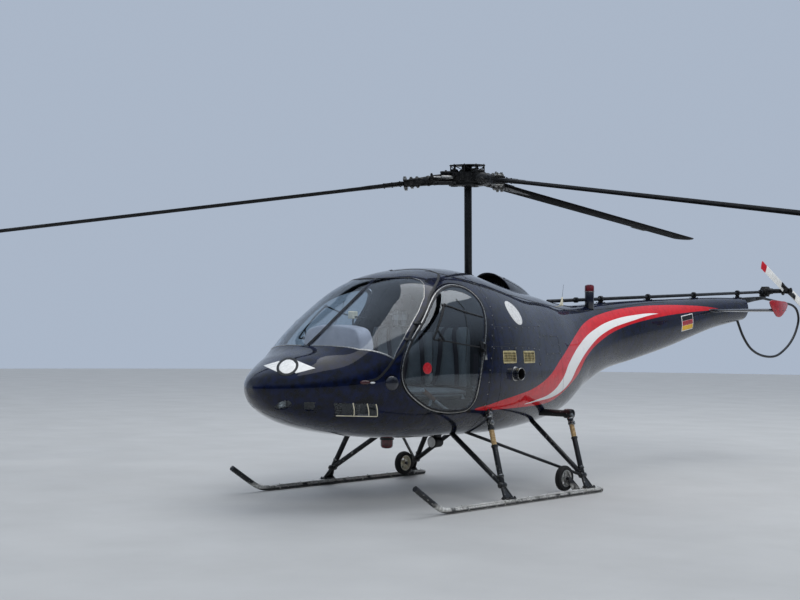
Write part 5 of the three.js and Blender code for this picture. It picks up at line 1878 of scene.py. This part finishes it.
def roof_fittings():
    """The beacon and aerials on the boom, and the boot where the mast meets the roof."""
    x, y = BEACON_X, BEACON_Y
    base = on_hull(x, y, 1560).z
    fit("tail_beacon_body", rod((x, y, base - 12), (x, y, 1730), 44, sides=36, bevel=2),
        "navy")
    fit("tail_beacon_lens", turned(
        [(0, 1734), (45, 1734), (45, 1780), (40, 1792), (24, 1799), (0, 1800)], (x, y, 0),
        UPRIGHT, 40), "lamp", "upper_beacon")
    fit("tail_beacon_ring", rod((x, y, 1728), (x, y, 1736), 47, sides=40), "bright")
    blade = flowing([(1208, 1556), (1296, 1556), (1284, 1610), (1276, 1668), (1264, 1668),
                     (1250, 1625)], 9, True)
    fit("aerial_blade", [slab([(96.5, along, z) for along, z in blade], (7, 0, 0), 2),
                         block((84, 1196, 1544), (116, 1308, 1559), 3)],
        "cream", "antenna_fin")
    fit("aerial_whip", rod((100, 1270, 1660), (100, 1292, 1786), 1.6, 1.0, 10, 0), "gear")
    boot = turned([
        (34.2, -955), (62, -955), (64, -930), (54, -915), (60, -905), (50, -890), (55, -880),
        (45, -868), (48, -858), (38, -850), (34.2, -850)], (0, 0, 0), UPRIGHT, 40, 25)
    fit("mast_boot", moved(boot, hub_place()), "rubber")


def belly_lamps():
    """The beacon under the belly and the landing lamp ahead of it."""
    lens_foot, lamp_foot = (0, -1000, 0), (0, 0, 412)
    fit("belly_lens", turned([(0, 392), (22, 393), (40, 399), (49, 412), (50, 430), (50, 462),
                              (0, 462)], lens_foot, UPRIGHT, 44), "lamp", "belly_beacon")
    fit("belly_lens_base", turned([(48, 462), (56, 462), (58, 500), (0, 500), (0, 462)],
                                  lens_foot, UPRIGHT, 44), "gear")
    lamp = turned([(0, -452), (44, -452), (50, -446), (51, -430), (47, -410), (44, -350),
                   (30, -336), (0, -334)], lamp_foot, FORE_AND_AFT, 40)
    bracket = slab([(-22, -420, 430), (22, -420, 430), (26, -420, 510), (-26, -420, 510)],
                   (0, 70, 0), 4)
    fit("landing_lamp", [lamp, bracket], "gear", "landing_light", slot="dark_metal")
    fit("landing_lamp_glass", turned([(0, -456), (30, -455), (42, -452.5), (0, -452.5)],
                                     lamp_foot, FORE_AND_AFT, 36), "white")


def end_plates():
    """The boom's end plate and the walls that close the engine bay."""
    ring = [(0.985 * x, y, z) for x, y, z in hull_ring(BOOM_END, 48)[:-1]]
    fit("boom_end_plate", slab(ring, (0, -6, 0), 1), "navy")
    for wall_y, name in ((CABIN_END + 4, "bay_firewall"), (BAY_END - 8, "bay_end_plate")):
        ring = [on_hull(x, wall_y, z) - hull_normal(x, wall_y, z) * 13
                for x, _, z in hull_ring(wall_y, 64)[:-1]]
        fit(name, slab([(p.x, wall_y, p.z) for p in ring], (0, 3, 0), 0.5), "lining")


# The cabin

# A pad's cuts, how much thinner its sewn edge is, and how far its sides draw in
PAD_CUTS, SEWN_EDGE, SIDE_PULL, END_PULL = 17, 0.42, 0.018, 0.03


def padded_block(low, high, crown, round_top=0.0):
    """A sewn pad: a subdivided box whose faces swell and whose sides pull in."""
    low, high = Vector(low), Vector(high)
    centre, half = (low + high) / 2, (high - low) / 2
    bpy.ops.mesh.primitive_cube_add(size=2)
    obj = settled()
    pick(obj, "EDGE", everything)
    bpy.ops.mesh.subdivide(number_cuts=PAD_CUTS)
    leave()
    thin = min(range(3), key=lambda axis: half[axis])
    wide, tall = [axis for axis in range(3) if axis != thin]
    for vertex in obj.data.vertices:
        u, v, w = vertex.co[wide], vertex.co[tall], vertex.co[thin]
        swell = (1 - u**2) ** 0.5 * (1 - v**2) ** 0.5 if max(abs(u), abs(v)) < 1 else 0
        edge = 1 - SEWN_EDGE * min(abs(u) ** 6 + abs(v) ** 6, 1) ** 2
        place = [0, 0, 0]
        place[wide] = u * half[wide] * (1 - SIDE_PULL * (1 - v**2))
        place[tall] = v * half[tall] * (1 - END_PULL * (1 - u**2))
        if round_top and v > 0:
            place[wide] *= 1 - round_top * v**5
        place[thin] = w * ((half[thin] - crown) * edge + crown * swell)
        vertex.co = at(*(centre + Vector(place)))
    applied(obj, "SUBSURF", levels=1, render_levels=1)
    bpy.ops.object.shade_smooth()
    return obj


# The seats' sides, from the left one to the right one, and the tops of their backs
SEATS = ((172, 545, 1372), (-168, 168, 1330), (-545, -172, 1372))
# How wide a back is beside its cushion, and how much it narrows at the top
BACK_SHARE, BACK_ROUND = 0.96, 0.16
BELT_WIDTH, BELT_THICKNESS = 44, 2.5
POD = [(-312, 960), (312, 960), (314, 1120), (312, 1240), (268, 1336), (150, 1370),
       (0, 1376), (-150, 1370), (-268, 1336), (-312, 1240), (-314, 1120)]
# Columns: height and number of the dials in each row of the panel
DIAL_ROWS = ((1288, 4), (1188, 5), (1088, 5))
DIAL_SPACING, DIAL_RADIUS = 108, 38
STICK_X = 300


class HELI_OT_cabin(bpy.types.Operator):
    """Fits out the cabin: seats, belts, console and controls"""
    bl_idname = "heli.cabin"
    bl_label = "Cabin"

    def execute(self, context):
        crown = context.scene.heli_looks.seat_crown * 1000
        for number, (x0, x1, top) in enumerate(SEATS, 1):
            pad = padded_block((x0, -1130, 801), (x1, -662, 889), crown)
            fit(f"seat_pad_{number}", pad, "seat", "seat_cushion")
            back = padded_block((x0 * BACK_SHARE, -664, 890), (x1 * BACK_SHARE, -560, top),
                                crown, BACK_ROUND)
            fit(f"seat_back_{number}", back, "seat", "seat_back")
            piping = [((x0 + x1) / 2 + (x1 - x0) / 2 * a, -1128 + 466 * b, 848) for a, b in
                      ((-0.97, 0.02), (0.97, 0.02), (0.97, 0.97), (-0.97, 0.97))]
            fit(f"seat_piping_{number}", tube(flowing(piping, 30, True), 4, True), "belt")
        shell = [(-545, -558, 802), (545, -558, 802), (520, -558, 1290), (420, -558, 1480),
                 (-420, -558, 1480), (-520, -558, 1290)]
        fit("seat_bulkhead", slab(shell, (0, 40, 0), 12, 3), "lining")
        belts()
        console()
        loose_things()
        controls()
        return {"FINISHED"}


def belts():
    """Shoulder and lap belts of each seat, a spare strap at the door, and buckles."""
    webs, buckles = [], []
    for x in (358, 0, -358):
        for way in BACK_AND_FORTH:
            webs.append(strap([(x + way * across, y, z) for across, y, z in (
                (40, -592, 1392), (62, -672, 1330), (84, -676, 1150), (108, -690, 960),
                (132, -724, 902))], BELT_WIDTH))
            webs.append(strap([(x + way * across, y, z) for across, y, z in (
                (168, -672, 868), (130, -760, 900), (60, -850, 904), (18, -880, 905))],
                BELT_WIDTH, (0, 1, 0)))
        buckles.append(block((x - 30, -908, 902), (x + 30, -858, 917), 4))
    webs.append(strap([(618, -640, 1160), (626, -650, 1060), (624, -655, 960),
                       (620, -652, 900)], 46))
    buckles.append(block((606, -664, 868), (640, -640, 905), 4))
    fit("seat_belts", webs, "belt")
    fit("belt_buckles", buckles, "bright")


def strap(points, width, across=(1, 0, 0)):
    """A web of the belts along a smooth line, with its width along one axis."""
    path = [Vector(p) for p in flowing(points, 30)]
    aside = Vector(across) * width
    web = grid(1, len(path) - 1, lambda column, row: path[row] + aside * (column - 0.5))
    applied(web, "SOLIDIFY", thickness=BELT_THICKNESS / 1000, offset=0)
    return smoothed(web, 50)


def console():
    """The instrument pod: a pale moulded shell, round at the top, with a dark face aft,
    its dials and switch boxes, and the compass above it."""
    pod = flowing(POD, 30, True)
    fit("instrument_pod", slab([(x, -1640, z) for x, z in pod], (0, 150, 0), 22, 4), "pod")
    fit("instrument_panel", slab([(x, -1498, z) for x, z in drawn_in(pod, 16)], (0, 14, 0), 4),
        "trim")
    dials, rims = [], []
    for z, count in DIAL_ROWS:
        for k in range(count):
            x = (k - (count - 1) / 2) * DIAL_SPACING
            rims.append(turned([(DIAL_RADIUS, 0), (45, 0), (45, 6), (DIAL_RADIUS, 4)],
                               (x, -1485, z), FORE_AND_AFT, 32))
            dials.append(rod((x, -1487, z), (x, -1483, z), DIAL_RADIUS, sides=32, bevel=0))
    rims += [block((-120, -1506, z - 30), (120, -1474, z + 30), 3) for z in (700, 780, 860)]
    fit("instrument_rims", rims, "gear")
    fit("instrument_faces", dials, "dial")
    fit("compass_box", block((66, -1530, 1424), (124, -1474, 1482), 8, 3), "cream")
    fit("compass_stay", [rod((95, -1500, 1366), (95, -1500, 1428), 7, sides=14),
                         block((120, -1512, 1430), (238, -1494, 1444), 4)], "gear")


def loose_things():
    """The folded blanket over a seat back and the headset that hangs above it."""
    fit("folded_blanket", slab([(-330, -566, 1372), (-168, -566, 1376), (-176, -566, 1500),
                                (-318, -566, 1512)], (0, -40, 0), 14, 3), "check")
    cup = [(0, 0), (32, 0), (38, 8), (36, 26), (20, 34), (0, 34)]
    band = flowing([(-262, -552, 1568), (-250, -552, 1632), (-208, -552, 1652),
                    (-166, -552, 1632), (-154, -552, 1568)], 10)
    fit("headset", [*(turned(cup, (-208 + 62 * way, -552, 1560), (way, 0, 0), 28)
                      for way in BACK_AND_FORTH), tube(band, 5)], "belt", slot="trim_grey")


def controls():
    """Grips of the sticks and the lever, the lever's tube, its post and the treads."""
    grips = []
    for x in (STICK_X, -STICK_X):
        grips.append(rod((x, -1298, 915), (x, -1276, 1022), 20.5, 18, 24, 5))
        grips.append(block((x - 15, -1306, 1004), (x + 15, -1262, 1030), 6))
    grips.append(rod((590, -1112, 808), (590, -1232, 879), 19.5, sides=24, bevel=4))
    fit("control_grips", grips, "grip")
    fit("control_rods", [
        rod((590, -1232, 879), (590, -1252, 891), 13, sides=20),
        rod((590, -1108, 806), (590, -1000, 745), 13, sides=20),
        rod((590, -1000, 745), (590, -862, 686), 13, sides=20),
        block((574, -904, 648), (582, -816, 720), 3)], "silver")
    # The pivot post of the collective lever and the plate on the seat box's side
    fit("collective_post", [rod((598, -1190, 700), (594, -1150, 806), 16, 13, 20),
                            rod((598, -1192, 694), (598, -1192, 704), 34, sides=24)],
        "bright")
    both("seat_gusset", slab([(546, -762, 720), (546, -634, 748), (546, -719, 839)],
                             (5, 0, 0), 1), "silver", slot="trim_grey")
    middles = [side * STICK_X + way * 95 for side in (1, -1) for way in (1, -1)]
    fit("pedal_treads", [block((x - 40, -1777, 700), (x + 40, -1769, 818), 3)
                         for x in middles], "bright")


# The stage. Columns: kind, name, place, angle or size, power and whether it is mirrored
LAMPS = (
    ("SUN", "lamp_key", (9, -6, 8), 0.5, 1.25, False),
    ("SUN", "lamp_back", (-6, 9, 7), 0.7, 0.5, False),
    ("AREA", "lamp_top", (2, 2, 15), 16, 1300, True))
FLOOR_RADIUS = 38
# The camera, solved from the photograph: place in metres, radians and pixels
CAMERA_PLACE = (6.848, -10.440, 1.295)
CAMERA_YAW, CAMERA_PITCH, CAMERA_ROLL = 0.7366, 0.0274, 0.0091
FOCAL_PIXELS, PHOTO_WIDTH, SENSOR = 1310.13, 800, 36


class HELI_OT_stage(bpy.types.Operator):
    """Adds the floor, the soft lamps and the camera"""
    bl_idname = "heli.stage"
    bl_label = "Floor, lamps and camera"

    def execute(self, context):
        bpy.ops.mesh.primitive_circle_add(vertices=128, radius=FLOOR_RADIUS, fill_type="NGON")
        floor = settled()
        floor.name = floor.data.name = "floor"
        floor.data.materials.append(
            plain_finish("matt_floor_paint", "#b6b6b4", "#b0b0ae", (0.6, 0.75), 900))
        for kind, name, place, size, power, seen in LAMPS:
            bpy.ops.object.light_add(type=kind, location=place)
            lamp = context.object
            lamp.name = name
            lamp.rotation_euler = Vector(place).to_track_quat("Z", "Y").to_euler()
            lamp.data.energy = power
            setattr(lamp.data, "angle" if kind == "SUN" else "size", size)
            lamp.visible_glossy = seen
        studio(context.scene)
        camera(context)
        return {"FINISHED"}


def studio(scene):
    """Pale overhead and behind the helicopter, dark low down in front of it, so its
    black sides have something dark to mirror, as outdoors."""
    world = scene.world or bpy.data.worlds.new("studio_world")
    scene.world = world
    world.use_nodes = True
    tree = world.node_tree
    smooth = {"interpolation_type": "SMOOTHSTEP"}
    look = add_node(tree, "TexCoord", output="Generated")
    up = add_node(tree, "SeparateXYZ", {"Vector": look}, 2)
    rise = add_node(tree, "MapRange", {"Value": up, "From Min": 0.10, "From Max": 0.55},
                    **smooth)
    away = add_node(tree, "VectorMath", {0: look, 1: (-0.67, 0.74, 0.0)}, "Value",
                    operation="DOT_PRODUCT")
    behind = add_node(tree, "MapRange", {"Value": away, "From Min": 0.1, "From Max": 0.75},
                      **smooth)
    pale = add_node(tree, "Math", {0: rise, 1: behind}, **LARGER)
    wire(tree, tree.nodes["Background"], {
        "Color": add_node(tree, "Mix", {0: pale, 6: "#474e57", 7: "#c8d6ea"}, **RGBA),
        "Strength": 0.7})
    scene.view_settings.view_transform = "Standard"


def camera(context):
    """The photograph's camera."""
    bpy.ops.object.camera_add()
    made = context.object
    made.name = "photo_camera"
    level = math.cos(CAMERA_PITCH)
    forward = Vector((-math.sin(CAMERA_YAW) * level, math.cos(CAMERA_YAW) * level,
                      math.sin(CAMERA_PITCH)))
    right = forward.cross(Vector((0, 0, 1))).normalized()
    up = right.cross(forward)
    c, s = math.cos(CAMERA_ROLL), math.sin(CAMERA_ROLL)
    pose = Matrix((right * c + up * s, up * c - right * s, -forward)).transposed().to_4x4()
    pose.translation = CAMERA_PLACE
    made.matrix_world = pose
    made.data.sensor_width = SENSOR
    made.data.lens = FOCAL_PIXELS / PHOTO_WIDTH * SENSOR
    made.data.clip_end = 200
    context.scene.camera = made


PALETTE, SLOTS = {}, {}
# Columns: key, slot in the record, material, pale and dark colour, roughness from and
# to, and the size of its blobs in millimetres, with what else differs from a plain coat
FINISHES = (
    # Moulded and laid-up plastics: an even gloss, uneven only where hands rub
    ("pod", "trim_grey", "pale_moulded_fibreglass", "#c6c4cc", "#b0aeb8", (0.4, 0.55), 120,
     {"bump": 0.1}),
    ("trim", "trim_grey", "moulded_cabin_plastic", "#2c2d30", "#1f2022", (0.5, 0.7), 12,
     {"bump": 0.15}),
    ("cream", "blade_white", "cream_moulded_plastic", "#e9e3cc", "#d8d0b4", (0.35, 0.5), 40, {}),
    ("grip", "gear_black", "brown_moulded_grip", "#8a5c40", "#6b4530", (0.5, 0.65), 10,
     {"bump": 0.2}),
    # Clear-topped plastics and print: a sharp highlight over a deep colour
    ("dial", "gear_black", "printed_dial_face", "#1b1c1e", "#0e0f10", (0.2, 0.3), 8,
     {"coat": 0.5}),
    ("lamp", "lamp_maroon", "maroon_lens_plastic", "#6b1622", "#4c0f19", (0.15, 0.25), 30,
     {"coat": 0.5}),
    ("dark_lamp", "lamp_maroon", "dark_lamp_lens", "#3a0d14", "#26080d", (0.15, 0.25), 30,
     {"coat": 0.5}),
    # Fibres: no highlight, and a pile or weave that breaks the light up
    ("carpet", "trim_grey", "looped_cabin_carpet", "#1d1e21", "#121315", (0.9, 1.0), 8,
     {"bump": 1.0}),
    ("lining", "trim_grey", "dark_cabin_lining", "#202124", "#17181a", (0.7, 0.85), 40,
     {"bump": 0.1}),
    ("belt", "seat_fabric", "woven_belt_webbing", "#3b2b31", "#2a1f24", (0.75, 0.9), 3,
     {"bump": 0.3}),
    # Rubber: a soft, broad sheen
    ("rubber", "gear_black", "moulded_rubber_seal", "#101113", "#0a0b0c", (0.45, 0.6), 20,
     {"bump": 0.05}),
    ("tyre", "tyre_rubber", "moulded_tyre_rubber", "#1d1d1d", "#131313", (0.75, 0.9), 12,
     {"bump": 0.3}),
    ("oleo", "dark_metal", "tan_rubber_boot", "#b0966b", "#7f6743", (0.5, 0.7), 16,
     {"bump": 0.1}),
    # Bare and plated metals: the greyer and rougher, the duller their mirror
    ("metal", "dark_metal", "cadmium_plated_steel", "#3d3c3b", "#212122", (0.35, 0.55), 24,
     {"metal": 0.75}),
    ("bright", "dark_metal", "polished_steel", "#b9b8b4", "#8f8e8b", (0.18, 0.34), 14,
     {"metal": 1.0}),
    ("engine", "engine_metal", "cast_engine_alloy", "#77797a", "#585a5b", (0.5, 0.7), 20,
     {"metal": 0.6, "bump": 0.3}),
    ("rim", "rim_metal", "cast_aluminium_rim", "#c6c6c2", "#9fa09e", (0.3, 0.5), 18,
     {"metal": 0.8}),
    ("shaft", "gear_black", "anodised_shaft_tube", "#33363a", "#232528", (0.3, 0.45), 60,
     {"metal": 0.6}),
    ("louvre", "grille_metal", "alodined_aluminium_louvre", "#d8ca9a", "#b3a373",
     (0.35, 0.5), 30, {"metal": 0.35}),
    ("tread", "gear_black", "scuffed_aluminium_tread", "#dcdbd7", "#a9a8a4", (0.35, 0.6), 60,
     {"metal": 0.35, "bump": 0.3}),
    ("blade_plate", "blade_black", "bonded_root_plates", "#232426", "#151617", (0.4, 0.55), 40,
     {"metal": 0.4}),
    # Real soot in the exhaust; on the scoop's screen the same black is painted shade
    ("soot", "dark_metal", "sooty_steel_and_shade_black", "#0c0b0a", "#050505", (0.8, 0.95), 12, {"bump": 0.1}),
    # Paints: gloss enamels mirror sharply, powder coat softly, and weathered paint not
    ("gold", "blade_white", "gloss_gold_enamel", "#e8b81c", "#d9a812", (0.25, 0.35), 60, {}),
    ("white", "blade_white", "gloss_white_enamel", "#f0efec", "#e4e3df", (0.2, 0.35), 60, {}),
    ("red", "red_paint", "gloss_red_enamel", "#b01e28", "#981822", (0.2, 0.3), 60,
     {"coat": 0.6}),
    ("navy", "navy_paint", "polished_enamel_navy", "#0a0f22", "#05070f", (0.25, 0.35), 90,
     {"coat": 1.0, "coat_rough": 0.04}),
    ("silver", "dark_metal", "satin_silver_paint", "#d2d4d6", "#b4b6b9", (0.35, 0.5), 25,
     {"metal": 0.2}),
    ("rim_white", "rim_metal", "cream_painted_rim", "#e4dec9", "#c9c1a6", (0.35, 0.55), 30, {}),
    ("gear", "gear_black", "powder_coated_steel", "#17181b", "#0d0e10", (0.3, 0.45), 30,
     {"bump": 0.05, "ior": 1.45}),
    ("blade", "blade_black", "weathered_blade_paint", "#101113", "#0a0b0c", (0.7, 0.85), 80,
     {"ior": 1.15}))
# What each slot of the record wears where a CAD node stays as it is
NODE_FINISH = {
    "navy_paint": "paint", "red_paint": "red", "canopy_glass": "glass", "gear_black": "gear",
    "grille_metal": "metal", "dark_metal": "metal", "blade_black": "blade",
    "blade_white": "white", "seat_fabric": "seat", "trim_grey": "trim",
    "tyre_rubber": "tyre", "rim_metal": "rim", "lamp_maroon": "lamp",
    "engine_metal": "engine"}


def fill_palette(looks):
    """Makes every finish once, and gives each kept node the right one."""
    for key, slot, name, pale, dark, rough, size, more in FINISHES:
        PALETTE[key], SLOTS[key] = plain_finish(name, pale, dark, rough, size, **more), slot
    for key, slot, made in (
            ("paint", "navy_paint", enamel_with_bands(looks)),
            ("glass", "canopy_glass", clear_acrylic("cast_acrylic", "#f2f6f9", 0.04)),
            ("smoked", "canopy_glass", clear_acrylic("smoked_acrylic", "#d9e0e4", 0.07)),
            ("check", "seat_fabric", checked_cloth()), ("seat", "seat_fabric", seat_cloth()),
            ("gear_worn_edge_lit", "gear_black", worn_and_edge_lit_coat()), ("skid", "gear_black", skid_coat()),
            ("tail_blade", "blade_white", tail_blade_enamel())):
        PALETTE[key], SLOTS[key] = made, slot
    for part in frame["record"]["subparts"]:
        node = NODES[part["node"]]
        node.data.materials.clear()
        node.data.materials.append(PALETTE[
            "carpet" if part["node"] == "cabin_floor" else NODE_FINISH[part["material_slot"]]])


class HELI_looks(bpy.types.PropertyGroup):
    """Sizes and colours that a user may change."""
    navy: bpy.props.FloatVectorProperty(
        name="Navy", description="Main colour of the body", subtype="COLOR", size=4,
        min=0, max=1, default=colour("#081231"))
    red: bpy.props.FloatVectorProperty(
        name="Red", description="Colour of the side band", subtype="COLOR", size=4,
        min=0, max=1, default=colour("#d4101e"))
    trim_width: bpy.props.FloatProperty(
        name="Trim width", description="Width of the bright trim round the windows",
        subtype="DISTANCE", unit="LENGTH", default=0.014, min=0.004, max=0.04)
    seat_crown: bpy.props.FloatProperty(
        name="Seat crown", description="How far the seat pads swell over their solids",
        subtype="DISTANCE", unit="LENGTH", default=0.012, min=0.0, max=0.03)


class HELI_PT_panel(bpy.types.Panel):
    """Lists the pieces in the order they are made"""
    bl_label = "Helicopter"
    bl_idname = "HELI_PT_panel"
    bl_space_type = "VIEW_3D"
    bl_region_type = "UI"
    bl_category = "Helicopter"

    def draw(self, context):
        looks = context.scene.heli_looks
        for key in HELI_looks.__annotations__:
            self.layout.prop(looks, key)
        for step in STEPS:
            self.layout.operator(step.bl_idname)


STEPS = (HELI_OT_stage, HELI_OT_fuselage, HELI_OT_main_rotor, HELI_OT_landing_gear,
         HELI_OT_wheels, HELI_OT_tail, HELI_OT_tail_rotor, HELI_OT_trims, HELI_OT_door_fittings,
         HELI_OT_markings, HELI_OT_bay_fittings, HELI_OT_cabin)
CLASSES = (HELI_looks, *STEPS, HELI_PT_panel)


def register():
    for each in CLASSES:
        bpy.utils.register_class(each)
    bpy.types.Scene.heli_looks = bpy.props.PointerProperty(type=HELI_looks)


def unregister():
    del bpy.types.Scene.heli_looks
    for each in reversed(CLASSES):
        bpy.utils.unregister_class(each)


def main():
    register()
    for step in STEPS:
        group, action = step.bl_idname.split(".")
        getattr(getattr(bpy.ops, group), action)()


if __name__ == "__main__":
    main()
